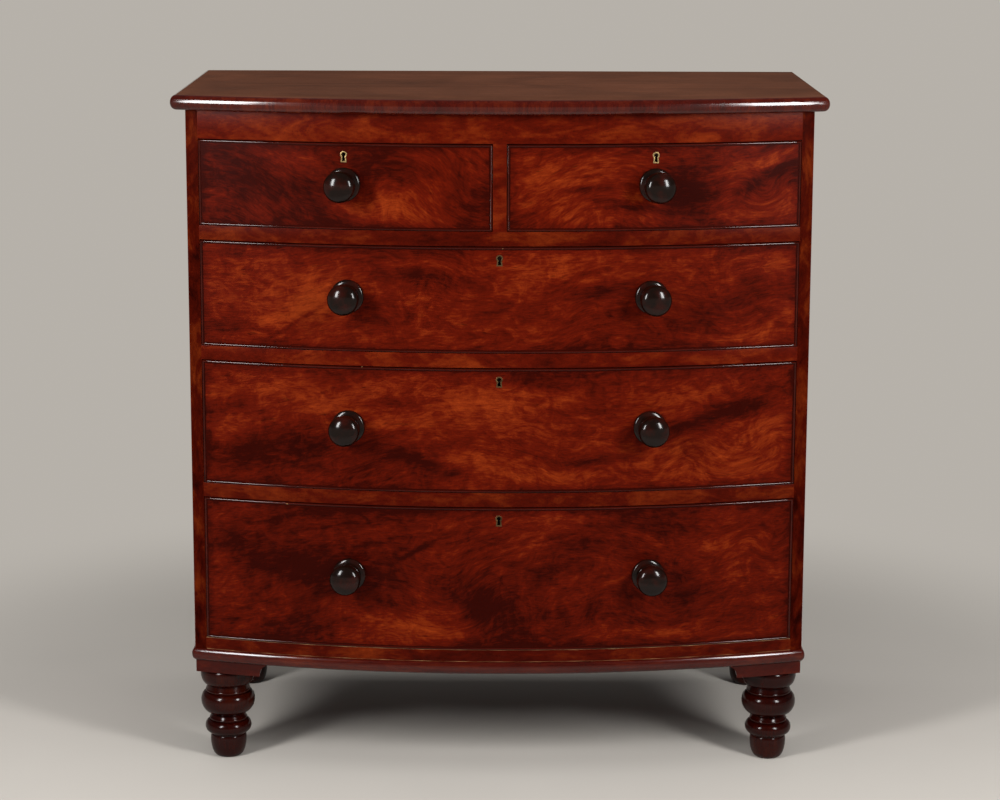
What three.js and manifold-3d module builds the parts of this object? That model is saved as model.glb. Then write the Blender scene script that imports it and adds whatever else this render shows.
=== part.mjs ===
// A bow front chest of drawers: two short drawers over three long ones, on turned feet.
// Millimetres, +Z up. The front faces -Y, and +X is to the right of someone who faces it.
// While it is built, y is zero at the front corners of the case. The finished group is moved so
// that its origin lies on the floor, under the middle of its own box.

import * as THREE from 'three';
import { mergeVertices } from 'three/addons/utils/BufferGeometryUtils.js';
import Module from 'manifold-3d';

const wasm = await Module();
wasm.setup();

// Case
const caseWidth = 1020;
const caseDepth = 490;
const bowRise = 77;
const bowCells = 16;
const sideThickness = 20;
const backThickness = 12;
const backRebate = 10;
const backBoards = 5;
const backGrooveWidth = 4;

// Top
const topThickness = 24;
const topOverhang = 23;
const topNose = 9;
const topNoseSteps = 6;

// Rows of drawers, from the top row down, and the rails between them
const friezeHeight = 47;
const shortRowHeight = 141;
const upperRowHeight = 175;
const middleRowHeight = 208;
const lowerRowHeight = 243;
const railHeight = 24;
const bottomRailHeight = 20;
const friezeInset = 20;
const bottomRailInset = 60;

// Dustboards, which are the thin middles of the rail boards, and their housings in the sides
const runnerWidth = 45;
const dustboardThickness = 12;
const dustboardFront = 60;
const dustboardRearRail = 38;
const housingDepth = 5;
const housingStart = 40;
const kickerWidth = 30;

// Upright between the short drawers
const muntinWidth = 22;
const muntinDepth = 30;
const partitionCapWidth = 80;

// Base board with its moulded edge, and the feet under it
const baseThickness = 21;
const baseProud = 6;
const baseNoseSteps = 5;
const blockHeight = 21;
const blockWidth = 109;
const blockCoveWidth = 12;
const blockCoveHeight = 19;
const blockInset = 1;
const blockCoveSides = 20;
const footHeight = 157;
const footInset = 50;
const footTopRadius = 44;
const footRingRadius = 45.8;
const footNeckRadius = 34.5;
const footFilletRadius = 37;
const footBulbRadius = 45.5;
const footWaistRadius = 26.5;
const footLowFilletRadius = 31;
const footSecondRadius = 39;
const footAnkleRadius = 28.5;
const footToeRadius = 30.4;
const footSoleRadius = 19;
const footDowelRadius = 20;
const footSides = 14;
const footSteps = 2;

// Heights on a turned foot, as shares of its own height
const ringShares = [0.81, 0.94, 1];
const highFilletShare = 0.76;
const bulbShares = [0.485, 0.63, 0.725];
const lowFilletShare = 0.44;
const secondShares = [0.26, 0.335, 0.405];
const toeShares = [0, 0.19, 0.245];

// Drawers
const drawerSideGap = 1.2;
const drawerTopGap = 1.5;
const drawerFootGap = 0.8;
const drawerTopClear = 6;
const drawerRearGap = 12;
const frontThickness = 24;
const drawerSideThickness = 11;
const drawerSideInset = 0.4;
const drawerBackThickness = 9;
const drawerBackDrop = 8;
const drawerBottomThickness = 6;
const drawerBottomRaise = 8;
const drawerGroove = 5;
const tailLap = 12.5;
const tailPitch = 52;
const tailSlopeShare = 0.16;
const tailWidthShare = 0.56;
const stopHeight = 5;
const stopWidth = 40;
const stopDepth = 25;
const stopPlaceShare = 0.3;

// Cockbead
const beadWidth = 3.2;
const beadDepth = 10;
const beadProud = 1.8;
const beadNoseSteps = 3;

// Knobs
const knobSpacing = 492;
const knobRise = 3;
const knobLength = 54;
const knobRadius = 25.3;
const knobCollarRadius = 27.5;
const knobBeadRadius = 23;
const knobGrooveRadius = 20;
const knobNeckRadius = 14.5;
const knobSpigotRadius = 7;
const knobSpigotLength = 20;
const knobSides = 12;
const knobSteps = 3;
const collarSteps = 2;

// Places along a knob from the drawer face, as shares of the knob's length
const collarShares = [0.08, 0.17];
const neckShare = 0.26;
const knobBeadShares = [0.35, 0.4, 0.45];
const domeShare = 0.64;

// Locks, their bolts and the keyhole linings
const keyholeDrop = 23;
const keyHeadRadius = 3.4;
const keyWaist = 1.8;
const keySkirt = 2.8;
const keyLength = 14;
const escutcheonWall = 2.2;
const escutcheonDepth = 9;
const escutcheonProud = 0.3;
const keyArcSteps = 8;
const lockWidth = 62;
const lockHeight = 44;
const lockDepth = 11;
const boltWidth = 22;
const boltThickness = 6;
const boltLength = 30;
const boltTravel = 9;
const boltCover = 3;
const boltForkWidth = 9;
const boltForkHeight = 19;
const mortiseSpare = 2;

// Clearances
const fitGap = 0.3;
const stopGap = 0.7;
const cutOverrun = 2;

// Heights that follow from the sizes above
const baseBottom = footHeight + blockHeight;
const caseBottom = baseBottom + baseThickness;
const lowerRowBottom = caseBottom + bottomRailHeight;
const lowerRowTop = lowerRowBottom + lowerRowHeight;
const middleRowBottom = lowerRowTop + railHeight;
const middleRowTop = middleRowBottom + middleRowHeight;
const upperRowBottom = middleRowTop + railHeight;
const upperRowTop = upperRowBottom + upperRowHeight;
const shortRowBottom = upperRowTop + railHeight;
const shortRowTop = shortRowBottom + shortRowHeight;
const caseTop = shortRowTop + friezeHeight;

// Widths and depths that follow
const halfWidth = caseWidth / 2;
const halfOpening = halfWidth - sideThickness;
const halfMuntin = muntinWidth / 2;
const insideBack = caseDepth - backThickness - fitGap;
const drawerBack = insideBack - drawerRearGap;
const bowRadius = (halfWidth ** 2 + bowRise ** 2) / (2 * bowRise);
const bowCentre = bowRadius - bowRise;
const bowPitch = caseWidth / bowCells;
const shortCentre = (halfOpening + halfMuntin) / 2;
const boltPlace = frontThickness - lockDepth / 2;

// Finishes
const finish = (color, roughness, metalness) =>
  new THREE.MeshStandardMaterial({ color, roughness, metalness });
const mahogany = finish(0x5c1e0e, 0.3, 0);
const topMahogany = finish(0x54261a, 0.28, 0);
const beadMahogany = finish(0x3a120b, 0.3, 0);
const ebonised = finish(0x140c09, 0.22, 0);
const pine = finish(0xb98d5c, 0.7, 0);
const brass = finish(0xb8935a, 0.35, 1);
const iron = finish(0x6b6259, 0.5, 1);

// The bow: y of the surface that lies a given distance in front of the case's own bow
const bowY = (x, out) => bowCentre - Math.sqrt((bowRadius + out) ** 2 - x ** 2);
const bowAngle = (x) => Math.asin(x / bowRadius);

// Places across the bow where its facets meet, so that neighbours share their facets
function stations(x0, x1) {
  const nearest = bowPitch / bowCells;
  const places = [x0];
  for (let k = Math.ceil(x0 / bowPitch); k * bowPitch < x1 - nearest; k += 1) {
    if (k * bowPitch > x0 + nearest) places.push(k * bowPitch);
  }
  places.push(x1);
  return places;
}

// A frame on the bow at x: its own Y runs straight into the wood, and its Z is up
function bowFrame(x, z) {
  const frame = new THREE.Matrix4().makeRotationZ(bowAngle(x));
  return frame.setPosition(x, bowY(x, 0), z);
}

// Turns a three.js geometry into a solid that can be joined and cut
function solid(geometry) {
  geometry.deleteAttribute('normal');
  geometry.deleteAttribute('uv');
  const merged = mergeVertices(geometry);
  const index = merged.index.array;
  const kept = [];
  for (let i = 0; i < index.length; i += 3) {
    const corners = [index[i], index[i + 1], index[i + 2]];
    if (new Set(corners).size === corners.length) kept.push(...corners);
  }
  const vertProperties = merged.attributes.position.array;
  const triVerts = Uint32Array.from(kept);
  return new wasm.Manifold(new wasm.Mesh({ numProp: 3, vertProperties, triVerts }));
}

function box(x0, x1, y0, y1, z0, z1) {
  const geometry = new THREE.BoxGeometry(x1 - x0, y1 - y0, z1 - z0);
  return geometry.translate((x0 + x1) / 2, (y0 + y1) / 2, (z0 + z1) / 2);
}

const block = (x0, x1, y0, y1, z0, z1) => solid(box(x0, x1, y0, y1, z0, z1));

function upright(points, z0, z1) {
  const shape = new THREE.Shape(points.map(([x, y]) => new THREE.Vector2(x, y)));
  const geometry = new THREE.ExtrudeGeometry(shape, { depth: z1 - z0, bevelEnabled: false });
  return geometry.translate(0, 0, z0);
}

// A slab between two surfaces that both follow the bow
function bowSlab(x0, x1, z0, z1, outFront, outBack) {
  const places = stations(x0, x1);
  const front = places.map((x) => [x, bowY(x, outFront)]);
  const back = places.map((x) => [x, bowY(x, outBack)]).reverse();
  return solid(upright([...front, ...back], z0, z1));
}

// A board with a bowed front edge and a straight back edge
function bowBoard(x0, x1, z0, z1, out, back) {
  const front = stations(x0, x1).map((x) => [x, bowY(x, out)]);
  return solid(upright([...front, [x1, back], [x0, back]], z0, z1));
}

// Skins a stack of outlines that have the same number of points
function loft(outlines) {
  const count = outlines[0].length;
  const positions = outlines.flat(2);
  const index = [];
  for (let level = 0; level + 1 < outlines.length; level += 1) {
    for (let i = 0; i < count; i += 1) {
      const a = level * count + i;
      const b = level * count + ((i + 1) % count);
      index.push(a, b, b + count, a, b + count, a + count);
    }
  }
  const flat = outlines[0].map(([x, y]) => new THREE.Vector2(x, y));
  const last = (outlines.length - 1) * count;
  for (const [a, b, c] of THREE.ShapeUtils.triangulateShape(flat, [])) {
    index.push(c, b, a, last + a, last + b, last + c);
  }
  const geometry = new THREE.BufferGeometry();
  geometry.setAttribute('position', new THREE.Float32BufferAttribute(positions, 3));
  return solid(geometry.setIndex(index));
}

// The case's plan at one height, grown by a given amount at the front and the sides
function caseOutline(out, z) {
  const corner = halfWidth + out;
  const points = [[-corner, caseDepth, z], [-corner, bowY(corner, out), z]];
  const reach = bowCells / 2 - 1;
  for (let k = -reach; k <= reach; k += 1) {
    points.push([k * bowPitch, bowY(k * bowPitch, out), z]);
  }
  points.push([corner, bowY(corner, out), z], [corner, caseDepth, z]);
  return points;
}

// A board with a rounded nose along its front and sides
function nosedBoard(bottom, thickness, proud, nose, steps) {
  const outlines = [];
  for (let i = 0; i <= steps; i += 1) {
    const angle = Math.PI * (i / steps - 1 / 2);
    const out = proud - nose * (1 - Math.cos(angle));
    outlines.push(caseOutline(out, bottom + (thickness / 2) * (1 + Math.sin(angle))));
  }
  return loft(outlines);
}

// One swelling of a turned piece, from a lower radius out to the middle and in to an upper one
function swelling(low, middle, high, steps) {
  const points = [];
  for (let i = 0; i <= 2 * steps; i += 1) {
    const angle = (Math.PI / 2) * (i / steps - 1);
    const end = i < steps ? low : high;
    const rise = i < steps ? middle[1] - low[1] : high[1] - middle[1];
    const radius = end[0] + (middle[0] - end[0]) * Math.cos(angle);
    points.push([radius, middle[1] + rise * Math.sin(angle)]);
  }
  return points;
}

// A turned piece about the Z axis, from a profile of radius and height
function turned(profile, sides) {
  const points = profile.map(([radius, height]) => new THREE.Vector2(radius, height));
  return new THREE.LatheGeometry(points, sides).rotateX(Math.PI / 2);
}

// Puts a finished solid into the scene as a named piece
function piece(name, body, material) {
  const { vertProperties, triVerts } = body.getMesh();
  const geometry = new THREE.BufferGeometry();
  geometry.setAttribute('position', new THREE.BufferAttribute(vertProperties, 3));
  geometry.setIndex(new THREE.BufferAttribute(triVerts, 1));
  geometry.computeVertexNormals();
  const mesh = new THREE.Mesh(geometry, material);
  mesh.name = name;
  return mesh;
}

// A piece that is made at the bow's own frame and then set on the bow at x
function pieceOnBow(name, body, material, x, z) {
  const mesh = piece(name, body, material);
  mesh.position.set(x, bowY(x, 0), z);
  mesh.rotation.z = bowAngle(x);
  return mesh;
}

// Keyhole outline: a round head over a skirt that widens downwards
function keyholeShape(grow) {
  const head = keyHeadRadius + grow;
  const waist = keyWaist + grow;
  const skirt = keySkirt + grow;
  const headCentre = keyLength / 2 - keyHeadRadius;
  const bottom = -keyLength / 2 - grow;
  const turn = Math.asin(waist / head);
  const shape = new THREE.Shape();
  for (let i = 0; i <= keyArcSteps; i += 1) {
    const angle = turn - Math.PI / 2 + (2 * Math.PI - 2 * turn) * (i / keyArcSteps);
    shape[i ? 'lineTo' : 'moveTo'](head * Math.cos(angle), headCentre + head * Math.sin(angle));
  }
  shape.lineTo(-skirt, bottom);
  shape.lineTo(skirt, bottom);
  return shape;
}

// A keyhole-shaped plug in the bow's frame, from one depth to another
function keyholePlug(shape, from, to) {
  const geometry = new THREE.ExtrudeGeometry(shape, { depth: to - from, bevelEnabled: false });
  return geometry.rotateX(Math.PI / 2).translate(0, to, 0);
}

function makeTop() {
  return nosedBoard(caseTop, topThickness, topOverhang, topNose, topNoseSteps);
}

function makeBase() {
  return nosedBoard(baseBottom, baseThickness, baseProud, baseProud, baseNoseSteps);
}

// Side board: its front edge follows the bow, and its inner face holds the rail boards
function makeSide(hand) {
  const inner = halfOpening;
  const rebateY = caseDepth - backThickness;
  const plan = [
    [halfWidth, bowY(halfWidth, 0)],
    [halfWidth, caseDepth],
    [inner + backRebate, caseDepth],
    [inner + backRebate, rebateY],
    [inner, rebateY],
    [inner, bowY(inner, 0)],
  ].map(([x, y]) => [hand * x, y]);
  let side = solid(upright(plan, caseBottom, caseTop));
  for (const top of [lowerRowTop, middleRowTop, upperRowTop]) {
    const reach = [hand * (inner - cutOverrun), hand * (inner + housingDepth)].sort((a, b) => a - b);
    const low = top - fitGap;
    const high = top + railHeight + fitGap;
    const housing = block(...reach, housingStart, insideBack + fitGap, low, high);
    side = side.subtract(housing);
  }
  const kicker = [hand * (inner - kickerWidth), hand * (inner + fitGap)].sort((a, b) => a - b);
  return side.add(block(...kicker, friezeInset + fitGap, insideBack, shortRowTop, caseTop));
}

function makeBack() {
  const edge = halfOpening + backRebate - fitGap;
  let back = block(-edge, edge, caseDepth - backThickness, caseDepth, caseBottom, caseTop);
  for (let i = 1; i < backBoards; i += 1) {
    const x = edge * ((2 * i) / backBoards - 1);
    const groove = [
      [x - backGrooveWidth / 2, caseDepth + cutOverrun],
      [x - backGrooveWidth / 2, caseDepth],
      [x, caseDepth - backGrooveWidth / 2],
      [x + backGrooveWidth / 2, caseDepth],
      [x + backGrooveWidth / 2, caseDepth + cutOverrun],
    ];
    const cut = upright(groove, caseBottom - cutOverrun, caseTop + cutOverrun);
    back = back.subtract(solid(cut));
  }
  return back;
}

// The pocket over a lock that its bolt shoots into
function mortise(x, bottom) {
  const half = boltWidth / 2 + fitGap;
  const deep = boltThickness / 2 + fitGap;
  const high = boltTravel + mortiseSpare - drawerTopGap;
  const geometry = box(-half, half, boltPlace - deep, boltPlace + deep, -cutOverrun, high);
  return solid(geometry.applyMatrix4(bowFrame(x, bottom)));
}

// A small block that a drawer front comes to rest against when the drawer is shut
function drawerStop(x, bottom) {
  const front = -frontThickness - stopGap;
  const half = stopWidth / 2;
  return bowSlab(x - half, x + half, bottom - cutOverrun, bottom + stopHeight, front, front - stopDepth);
}

function addStops(board, top, places) {
  return places.reduce((body, x) => body.add(drawerStop(x, top)), board);
}

// The thin stretches of a rail board, cut from its upper and lower face
function sinkDustboard(board, bottom, top, spans) {
  const sink = (top - bottom - dustboardThickness) / 2;
  const back = insideBack - dustboardRearRail;
  let body = board;
  for (const [x0, x1] of spans) {
    body = body.subtract(block(x0, x1, dustboardFront, back, top - sink, top + cutOverrun));
  }
  const edge = halfOpening - runnerWidth;
  return body.subtract(block(-edge, edge, dustboardFront, back, bottom - cutOverrun, bottom + sink));
}

// Rail board: the rail that shows, the runners at its ends and the dustboard between them
function makeRail(bottom, pocketSpans, stopPlaces, mortisePlace) {
  const top = bottom + railHeight;
  const edge = halfOpening - fitGap;
  const tongue = halfOpening + housingDepth - fitGap;
  const front = bowBoard(-edge, edge, bottom, top, 0, insideBack);
  const tongues = block(-tongue, tongue, housingStart + fitGap, insideBack, bottom, top);
  const board = sinkDustboard(front.add(tongues), bottom, top, pocketSpans);
  return addStops(board, top, stopPlaces).subtract(mortise(mortisePlace, bottom));
}

function makeFrieze() {
  const edge = halfOpening - fitGap;
  const rail = bowBoard(-edge, edge, shortRowTop, caseTop, 0, friezeInset);
  return rail.subtract(mortise(-shortCentre, shortRowTop)).subtract(mortise(shortCentre, shortRowTop));
}

function makeBottomRail(stopPlaces) {
  const edge = halfOpening - fitGap;
  const rail = bowBoard(-edge, edge, caseBottom, lowerRowBottom, 0, bottomRailInset);
  return addStops(rail, lowerRowBottom, stopPlaces);
}

function makeBottomBoard() {
  const edge = halfOpening - fitGap;
  const front = bottomRailInset + fitGap;
  const board = block(-edge, edge, front, insideBack, caseBottom, lowerRowBottom);
  const sink = bottomRailHeight - dustboardThickness;
  const span = halfOpening - runnerWidth;
  const pocketFront = front + dustboardRearRail;
  const pocketBack = insideBack - dustboardRearRail;
  const pocketTop = lowerRowBottom + cutOverrun;
  const pocket = block(-span, span, pocketFront, pocketBack, lowerRowBottom - sink, pocketTop);
  return board.subtract(pocket);
}

function makeMuntin() {
  const back = -bowRise + muntinDepth;
  return bowBoard(-halfMuntin, halfMuntin, shortRowBottom, shortRowTop, 0, back);
}

// Partition behind the muntin, with a wider cap that stops the short drawers from tipping
function makePartition() {
  const front = -bowRise + muntinDepth + fitGap;
  const capFront = friezeInset + fitGap;
  const web = block(-halfMuntin, halfMuntin, front, insideBack, shortRowBottom, shortRowTop);
  const neck = block(-halfMuntin, halfMuntin, capFront, insideBack, shortRowBottom, caseTop);
  const halfCap = partitionCapWidth / 2;
  return web.add(neck).add(block(-halfCap, halfCap, capFront, insideBack, shortRowTop, caseTop));
}

// Pairs the radii of one swelling with its heights, which are shares of a length
const withHeights = (radii, shares, length) => radii.map((radius, i) => [radius, length * shares[i]]);

// Profile of a turned foot, from the floor up to the dowel that is glued into its block
function footProfile() {
  const place = (radii, shares) => withHeights(radii, shares, footHeight);
  const toe = place([footSoleRadius, footToeRadius, footAnkleRadius], toeShares);
  const second = place([footAnkleRadius, footSecondRadius, footLowFilletRadius], secondShares);
  const bulb = place([footWaistRadius, footBulbRadius, footFilletRadius], bulbShares);
  const ring = place([footNeckRadius, footRingRadius, footTopRadius], ringShares);
  const turning = [
    ...swelling(...toe, footSteps),
    ...swelling(...second, footSteps),
    [footLowFilletRadius, footHeight * lowFilletShare],
    ...swelling(...bulb, footSteps),
    [footFilletRadius, footHeight * highFilletShare],
    ...swelling(...ring, footSteps),
  ];
  const dowelTop = footHeight + blockHeight / 2;
  const dowel = [[footDowelRadius, footHeight], [footDowelRadius, dowelTop], [0, dowelTop]];
  return [[0, 0], ...turning, ...dowel];
}

// Foot: the square block under the base board and the turning below it, glued up as one
function makeFoot(hand, atFront) {
  const outer = halfWidth - blockInset;
  const inner = outer - blockWidth - (atFront ? blockCoveWidth : 0);
  const [x0, x1] = [hand * inner, hand * outer].sort((a, b) => a - b);
  const centreX = hand * (halfWidth - footInset);
  const frontY = bowY(centreX, 0);
  const centreY = atFront ? frontY + footInset : caseDepth - footInset;
  const back = atFront ? centreY + blockWidth / 2 : caseDepth - blockInset;
  const top = footHeight + blockHeight;
  let body = atFront
    ? bowBoard(x0, x1, footHeight, top, -blockInset, back)
    : block(x0, x1, back - blockWidth, back, footHeight, top);
  if (atFront) {
    const hollow = blockCoveHeight / blockCoveWidth;
    const cove = new THREE.CylinderGeometry(blockCoveWidth, blockCoveWidth, caseDepth, blockCoveSides)
      .scale(1, 1, hollow)
      .translate(hand * inner, 0, footHeight);
    body = body.subtract(solid(cove));
  }
  const turning = turned(footProfile(), footSides);
  return body.add(solid(turning.translate(centreX, centreY, 0)));
}

// Knob in the bow's frame: it points along -Y, and its spigot goes into the drawer front
function makeKnob() {
  const collar = withHeights([knobCollarRadius, knobNeckRadius], collarShares, knobLength);
  const beadRadii = [knobGrooveRadius, knobBeadRadius, knobGrooveRadius];
  const bead = withHeights(beadRadii, knobBeadShares, knobLength);
  const profile = [
    [0, -knobSpigotLength],
    [knobSpigotRadius, -knobSpigotLength],
    [knobSpigotRadius, fitGap],
    ...swelling([knobCollarRadius - fitGap, fitGap], ...collar, collarSteps),
    [knobNeckRadius, knobLength * neckShare],
    ...bead,
    ...swelling(bead[2], [knobRadius, knobLength * domeShare], [0, knobLength], knobSteps).slice(1),
  ];
  return solid(turned(profile, knobSides).rotateX(Math.PI / 2));
}

// Thread escutcheon: a brass lining let into the keyhole
function makeEscutcheon() {
  const shape = keyholeShape(escutcheonWall);
  shape.holes.push(keyholeShape(0));
  return solid(keyholePlug(shape, -escutcheonProud, escutcheonDepth));
}

// Lock in the bow's frame, with z measured from the upper edge of the drawer front
function makeLock() {
  const half = lockWidth / 2;
  const front = frontThickness - lockDepth;
  const body = block(-half, half, front, frontThickness, -lockHeight, 0);
  const way = boltWidth / 2 + fitGap;
  const deep = boltThickness / 2 + fitGap;
  const wayBottom = -boltLength - boltCover - fitGap;
  const boltWay = block(-way, way, boltPlace - deep, boltPlace + deep, wayBottom, cutOverrun);
  const keyholeHeight = drawerTopGap - keyholeDrop;
  const keyway = keyholePlug(keyholeShape(0), front - cutOverrun, boltPlace);
  return body.subtract(boltWay).subtract(solid(keyway.translate(0, 0, keyholeHeight)));
}

// Bolt: a plate that the key lifts, with a fork at its foot that the key turns in
function makeBolt() {
  const half = boltWidth / 2;
  const deep = boltThickness / 2;
  const top = -boltCover;
  const foot = top - boltLength;
  const plate = block(-half, half, boltPlace - deep, boltPlace + deep, foot, top);
  const gap = boltForkWidth / 2;
  const near = boltPlace - deep - cutOverrun;
  const far = boltPlace + deep + cutOverrun;
  return plate.subtract(block(-gap, gap, near, far, foot - cutOverrun, foot + boltForkHeight));
}

// Cockbead: a thin round-nosed strip, mitred round all four edges of a drawer front
function makeBead({ x0, x1, z0, z1 }) {
  const section = [[0, -beadDepth]];
  const nose = beadWidth / 2;
  for (let i = 0; i <= beadNoseSteps; i += 1) {
    const angle = Math.PI * (1 - i / beadNoseSteps);
    section.push([nose * (1 + Math.cos(angle)), beadProud - nose * (1 - Math.sin(angle))]);
  }
  section.push([beadWidth, -beadDepth]);
  const between = stations(x0, x1).slice(1, -1);
  const path = [
    (inset) => [x0 + inset, z0 + inset],
    ...between.map((x) => (inset) => [x, z0 + inset]),
    (inset) => [x1 - inset, z0 + inset],
    (inset) => [x1 - inset, z1 - inset],
    ...between.reverse().map((x) => (inset) => [x, z1 - inset]),
    (inset) => [x0 + inset, z1 - inset],
  ];
  const positions = [];
  const index = [];
  const count = section.length;
  path.forEach((place, i) => {
    const next = ((i + 1) % path.length) * count;
    section.forEach(([inset, out], k) => {
      const [x, z] = place(inset);
      positions.push(x, bowY(x, out), z);
      const along = (k + 1) % count;
      const here = i * count;
      index.push(here + k, next + k, next + along, here + k, next + along, here + along);
    });
  });
  const geometry = new THREE.BufferGeometry();
  geometry.setAttribute('position', new THREE.Float32BufferAttribute(positions, 3));
  return solid(geometry.setIndex(index));
}

// Heights of the dovetails on one corner of a drawer, as pairs of centre and half width
function tailPlaces(low, high) {
  const count = Math.max(2, Math.round((high - low) / tailPitch));
  const pitch = (high - low) / count;
  const places = [];
  for (let i = 0; i < count; i += 1) {
    places.push([low + pitch * (i + 1 / 2), (pitch * tailWidthShare) / 2]);
  }
  return places;
}

// One dovetail as a prism across the drawer side, wider at its tip
function tail(x0, x1, tip, root, [centre, half], grow) {
  const flare = (root - tip) * tailSlopeShare;
  const points = [
    [root, centre - half - grow],
    [root, centre + half + grow],
    [tip - grow, centre + half + flare + grow],
    [tip - grow, centre - half - flare - grow],
  ];
  const shape = new THREE.Shape(points.map(([y, z]) => new THREE.Vector2(y, z)));
  const geometry = new THREE.ExtrudeGeometry(shape, { depth: x1 - x0, bevelEnabled: false });
  geometry.rotateX(Math.PI / 2).rotateZ(Math.PI / 2);
  return solid(geometry.translate(x0, 0, 0));
}

// Sizes of one drawer, from the opening that it fills
function drawerSizes(x0, x1, bottom, top) {
  const left = x0 + drawerSideGap;
  const right = x1 - drawerSideGap;
  const outline = { x0: left, x1: right, z0: bottom + drawerFootGap, z1: top - drawerTopGap };
  const boxLeft = left + drawerSideInset;
  const boxRight = right - drawerSideInset;
  const low = bottom + fitGap;
  return {
    outline,
    centre: (x0 + x1) / 2,
    keyhole: top - keyholeDrop,
    knobHeight: (bottom + top) / 2 + knobRise,
    low,
    high: top - drawerTopClear,
    grooveLow: low + drawerBottomRaise,
    grooveHigh: low + drawerBottomRaise + drawerBottomThickness + fitGap,
    corners: [
      { outer: boxLeft, inner: boxLeft + drawerSideThickness },
      { outer: boxRight, inner: boxRight - drawerSideThickness },
    ],
  };
}

// The dovetails of one drawer, grown by a clearance where they serve as cutters
function drawerTails(sizes, grow) {
  const tails = [];
  for (const { outer, inner } of sizes.corners) {
    const reach = grow * Math.sign(inner - outer);
    const run = grow ? cutOverrun : 0;
    const open = outer - run * Math.sign(inner - outer);
    const [x0, x1] = [open, inner + reach].sort((a, b) => a - b);
    const tip = bowY(outer, 0) + tailLap;
    const root = bowY(outer, 0) + frontThickness + tailLap;
    for (const place of tailPlaces(sizes.low, sizes.high)) {
      tails.push(tail(x0, x1, tip, root, place, grow));
    }
  }
  return tails;
}

function makeDrawerFront(sizes, knobPlaces) {
  const { x0, x1, z0, z1 } = sizes.outline;
  const rim = beadWidth + fitGap;
  const face = bowSlab(x0 + rim, x1 - rim, z0 + rim, z1 - rim, 0, -frontThickness);
  const rear = bowSlab(x0, x1, z0, z1, -beadDepth - fitGap, -frontThickness);
  let front = face.add(rear);
  for (const socket of drawerTails(sizes, fitGap)) front = front.subtract(socket);

  const [left, right] = sizes.corners.map((corner) => corner.inner);
  const grooveFloor = drawerGroove - frontThickness;
  const grooveOpen = -frontThickness - cutOverrun;
  const { grooveLow, grooveHigh } = sizes;
  const reach = drawerGroove;
  const groove = bowSlab(left - reach, right + reach, grooveLow, grooveHigh, grooveFloor, grooveOpen);
  front = front.subtract(groove);

  const half = lockWidth / 2 + fitGap;
  const pocketFront = frontThickness - lockDepth - fitGap;
  const pocketBack = frontThickness + cutOverrun;
  const pocket = box(-half, half, pocketFront, pocketBack, -lockHeight - fitGap, cutOverrun);
  front = front.subtract(solid(pocket.applyMatrix4(bowFrame(sizes.centre, z1))));

  const keyFrame = bowFrame(sizes.centre, sizes.keyhole);
  const lining = keyholePlug(keyholeShape(escutcheonWall + fitGap), -cutOverrun, escutcheonDepth + fitGap);
  const keyway = keyholePlug(keyholeShape(0), 0, frontThickness);
  front = front.subtract(solid(lining.applyMatrix4(keyFrame)));
  front = front.subtract(solid(keyway.applyMatrix4(keyFrame)));

  const holeRadius = knobSpigotRadius + fitGap;
  const holeLength = 2 * frontThickness + cutOverrun;
  for (const x of knobPlaces) {
    const hole = new THREE.CylinderGeometry(holeRadius, holeRadius, holeLength, knobSides);
    front = front.subtract(solid(hole.applyMatrix4(bowFrame(x, sizes.knobHeight))));
  }
  return front;
}

// Sides and back of a drawer, dovetailed to its front and grooved for its bottom
function makeDrawerBox(sizes) {
  const [left, right] = sizes.corners;
  const { low, high, grooveLow, grooveHigh } = sizes;
  const farFront = -caseDepth;
  const leftSide = block(left.outer, left.inner, farFront, drawerBack, low, high);
  const rightSide = block(right.inner, right.outer, farFront, drawerBack, low, high);
  let body = leftSide.add(rightSide);
  const [x0, x1] = [left.outer - drawerSideThickness, right.outer + drawerSideThickness];
  const [z0, z1] = [low - cutOverrun, high + cutOverrun];
  body = body.subtract(bowSlab(x0, x1, z0, z1, caseDepth, -frontThickness - fitGap));
  const [backLeft, backRight] = [left.outer + fitGap, right.outer - fitGap];
  const backFront = drawerBack - drawerBackThickness;
  const backHigh = high - drawerBackDrop;
  body = body.add(block(backLeft, backRight, backFront, drawerBack, grooveHigh, backHigh));
  for (const part of drawerTails(sizes, 0)) body = body.add(part);
  const inner = [left.inner - drawerGroove, right.inner + drawerGroove];
  return body.subtract(block(...inner, farFront, drawerBack + cutOverrun, grooveLow, grooveHigh));
}

function makeDrawerBottom(sizes) {
  const [left, right] = sizes.corners.map((corner) => corner.inner);
  const reach = drawerGroove - fitGap;
  const low = sizes.grooveLow + fitGap / 2;
  const high = low + drawerBottomThickness;
  const out = reach - frontThickness;
  return bowBoard(left - reach, right + reach, low, high, out, drawerBack);
}

function makeDrawer(name, sizes, knobPlaces) {
  const group = new THREE.Group();
  const lockTop = sizes.outline.z1;
  group.add(piece(`${name}_front`, makeDrawerFront(sizes, Object.values(knobPlaces)), mahogany));
  group.add(piece(`${name}_cockbead`, makeBead(sizes.outline), beadMahogany));
  group.add(piece(`${name}_box`, makeDrawerBox(sizes), pine));
  group.add(piece(`${name}_bottom`, makeDrawerBottom(sizes), pine));
  group.add(pieceOnBow(`${name}_lock`, makeLock(), brass, sizes.centre, lockTop));
  group.add(pieceOnBow(`${name}_bolt`, makeBolt(), iron, sizes.centre, lockTop));
  group.add(pieceOnBow(`${name}_escutcheon`, makeEscutcheon(), brass, sizes.centre, sizes.keyhole));
  for (const [knobName, x] of Object.entries(knobPlaces)) {
    group.add(pieceOnBow(`${name}_${knobName}`, makeKnob(), ebonised, x, sizes.knobHeight));
  }
  return group;
}

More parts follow.
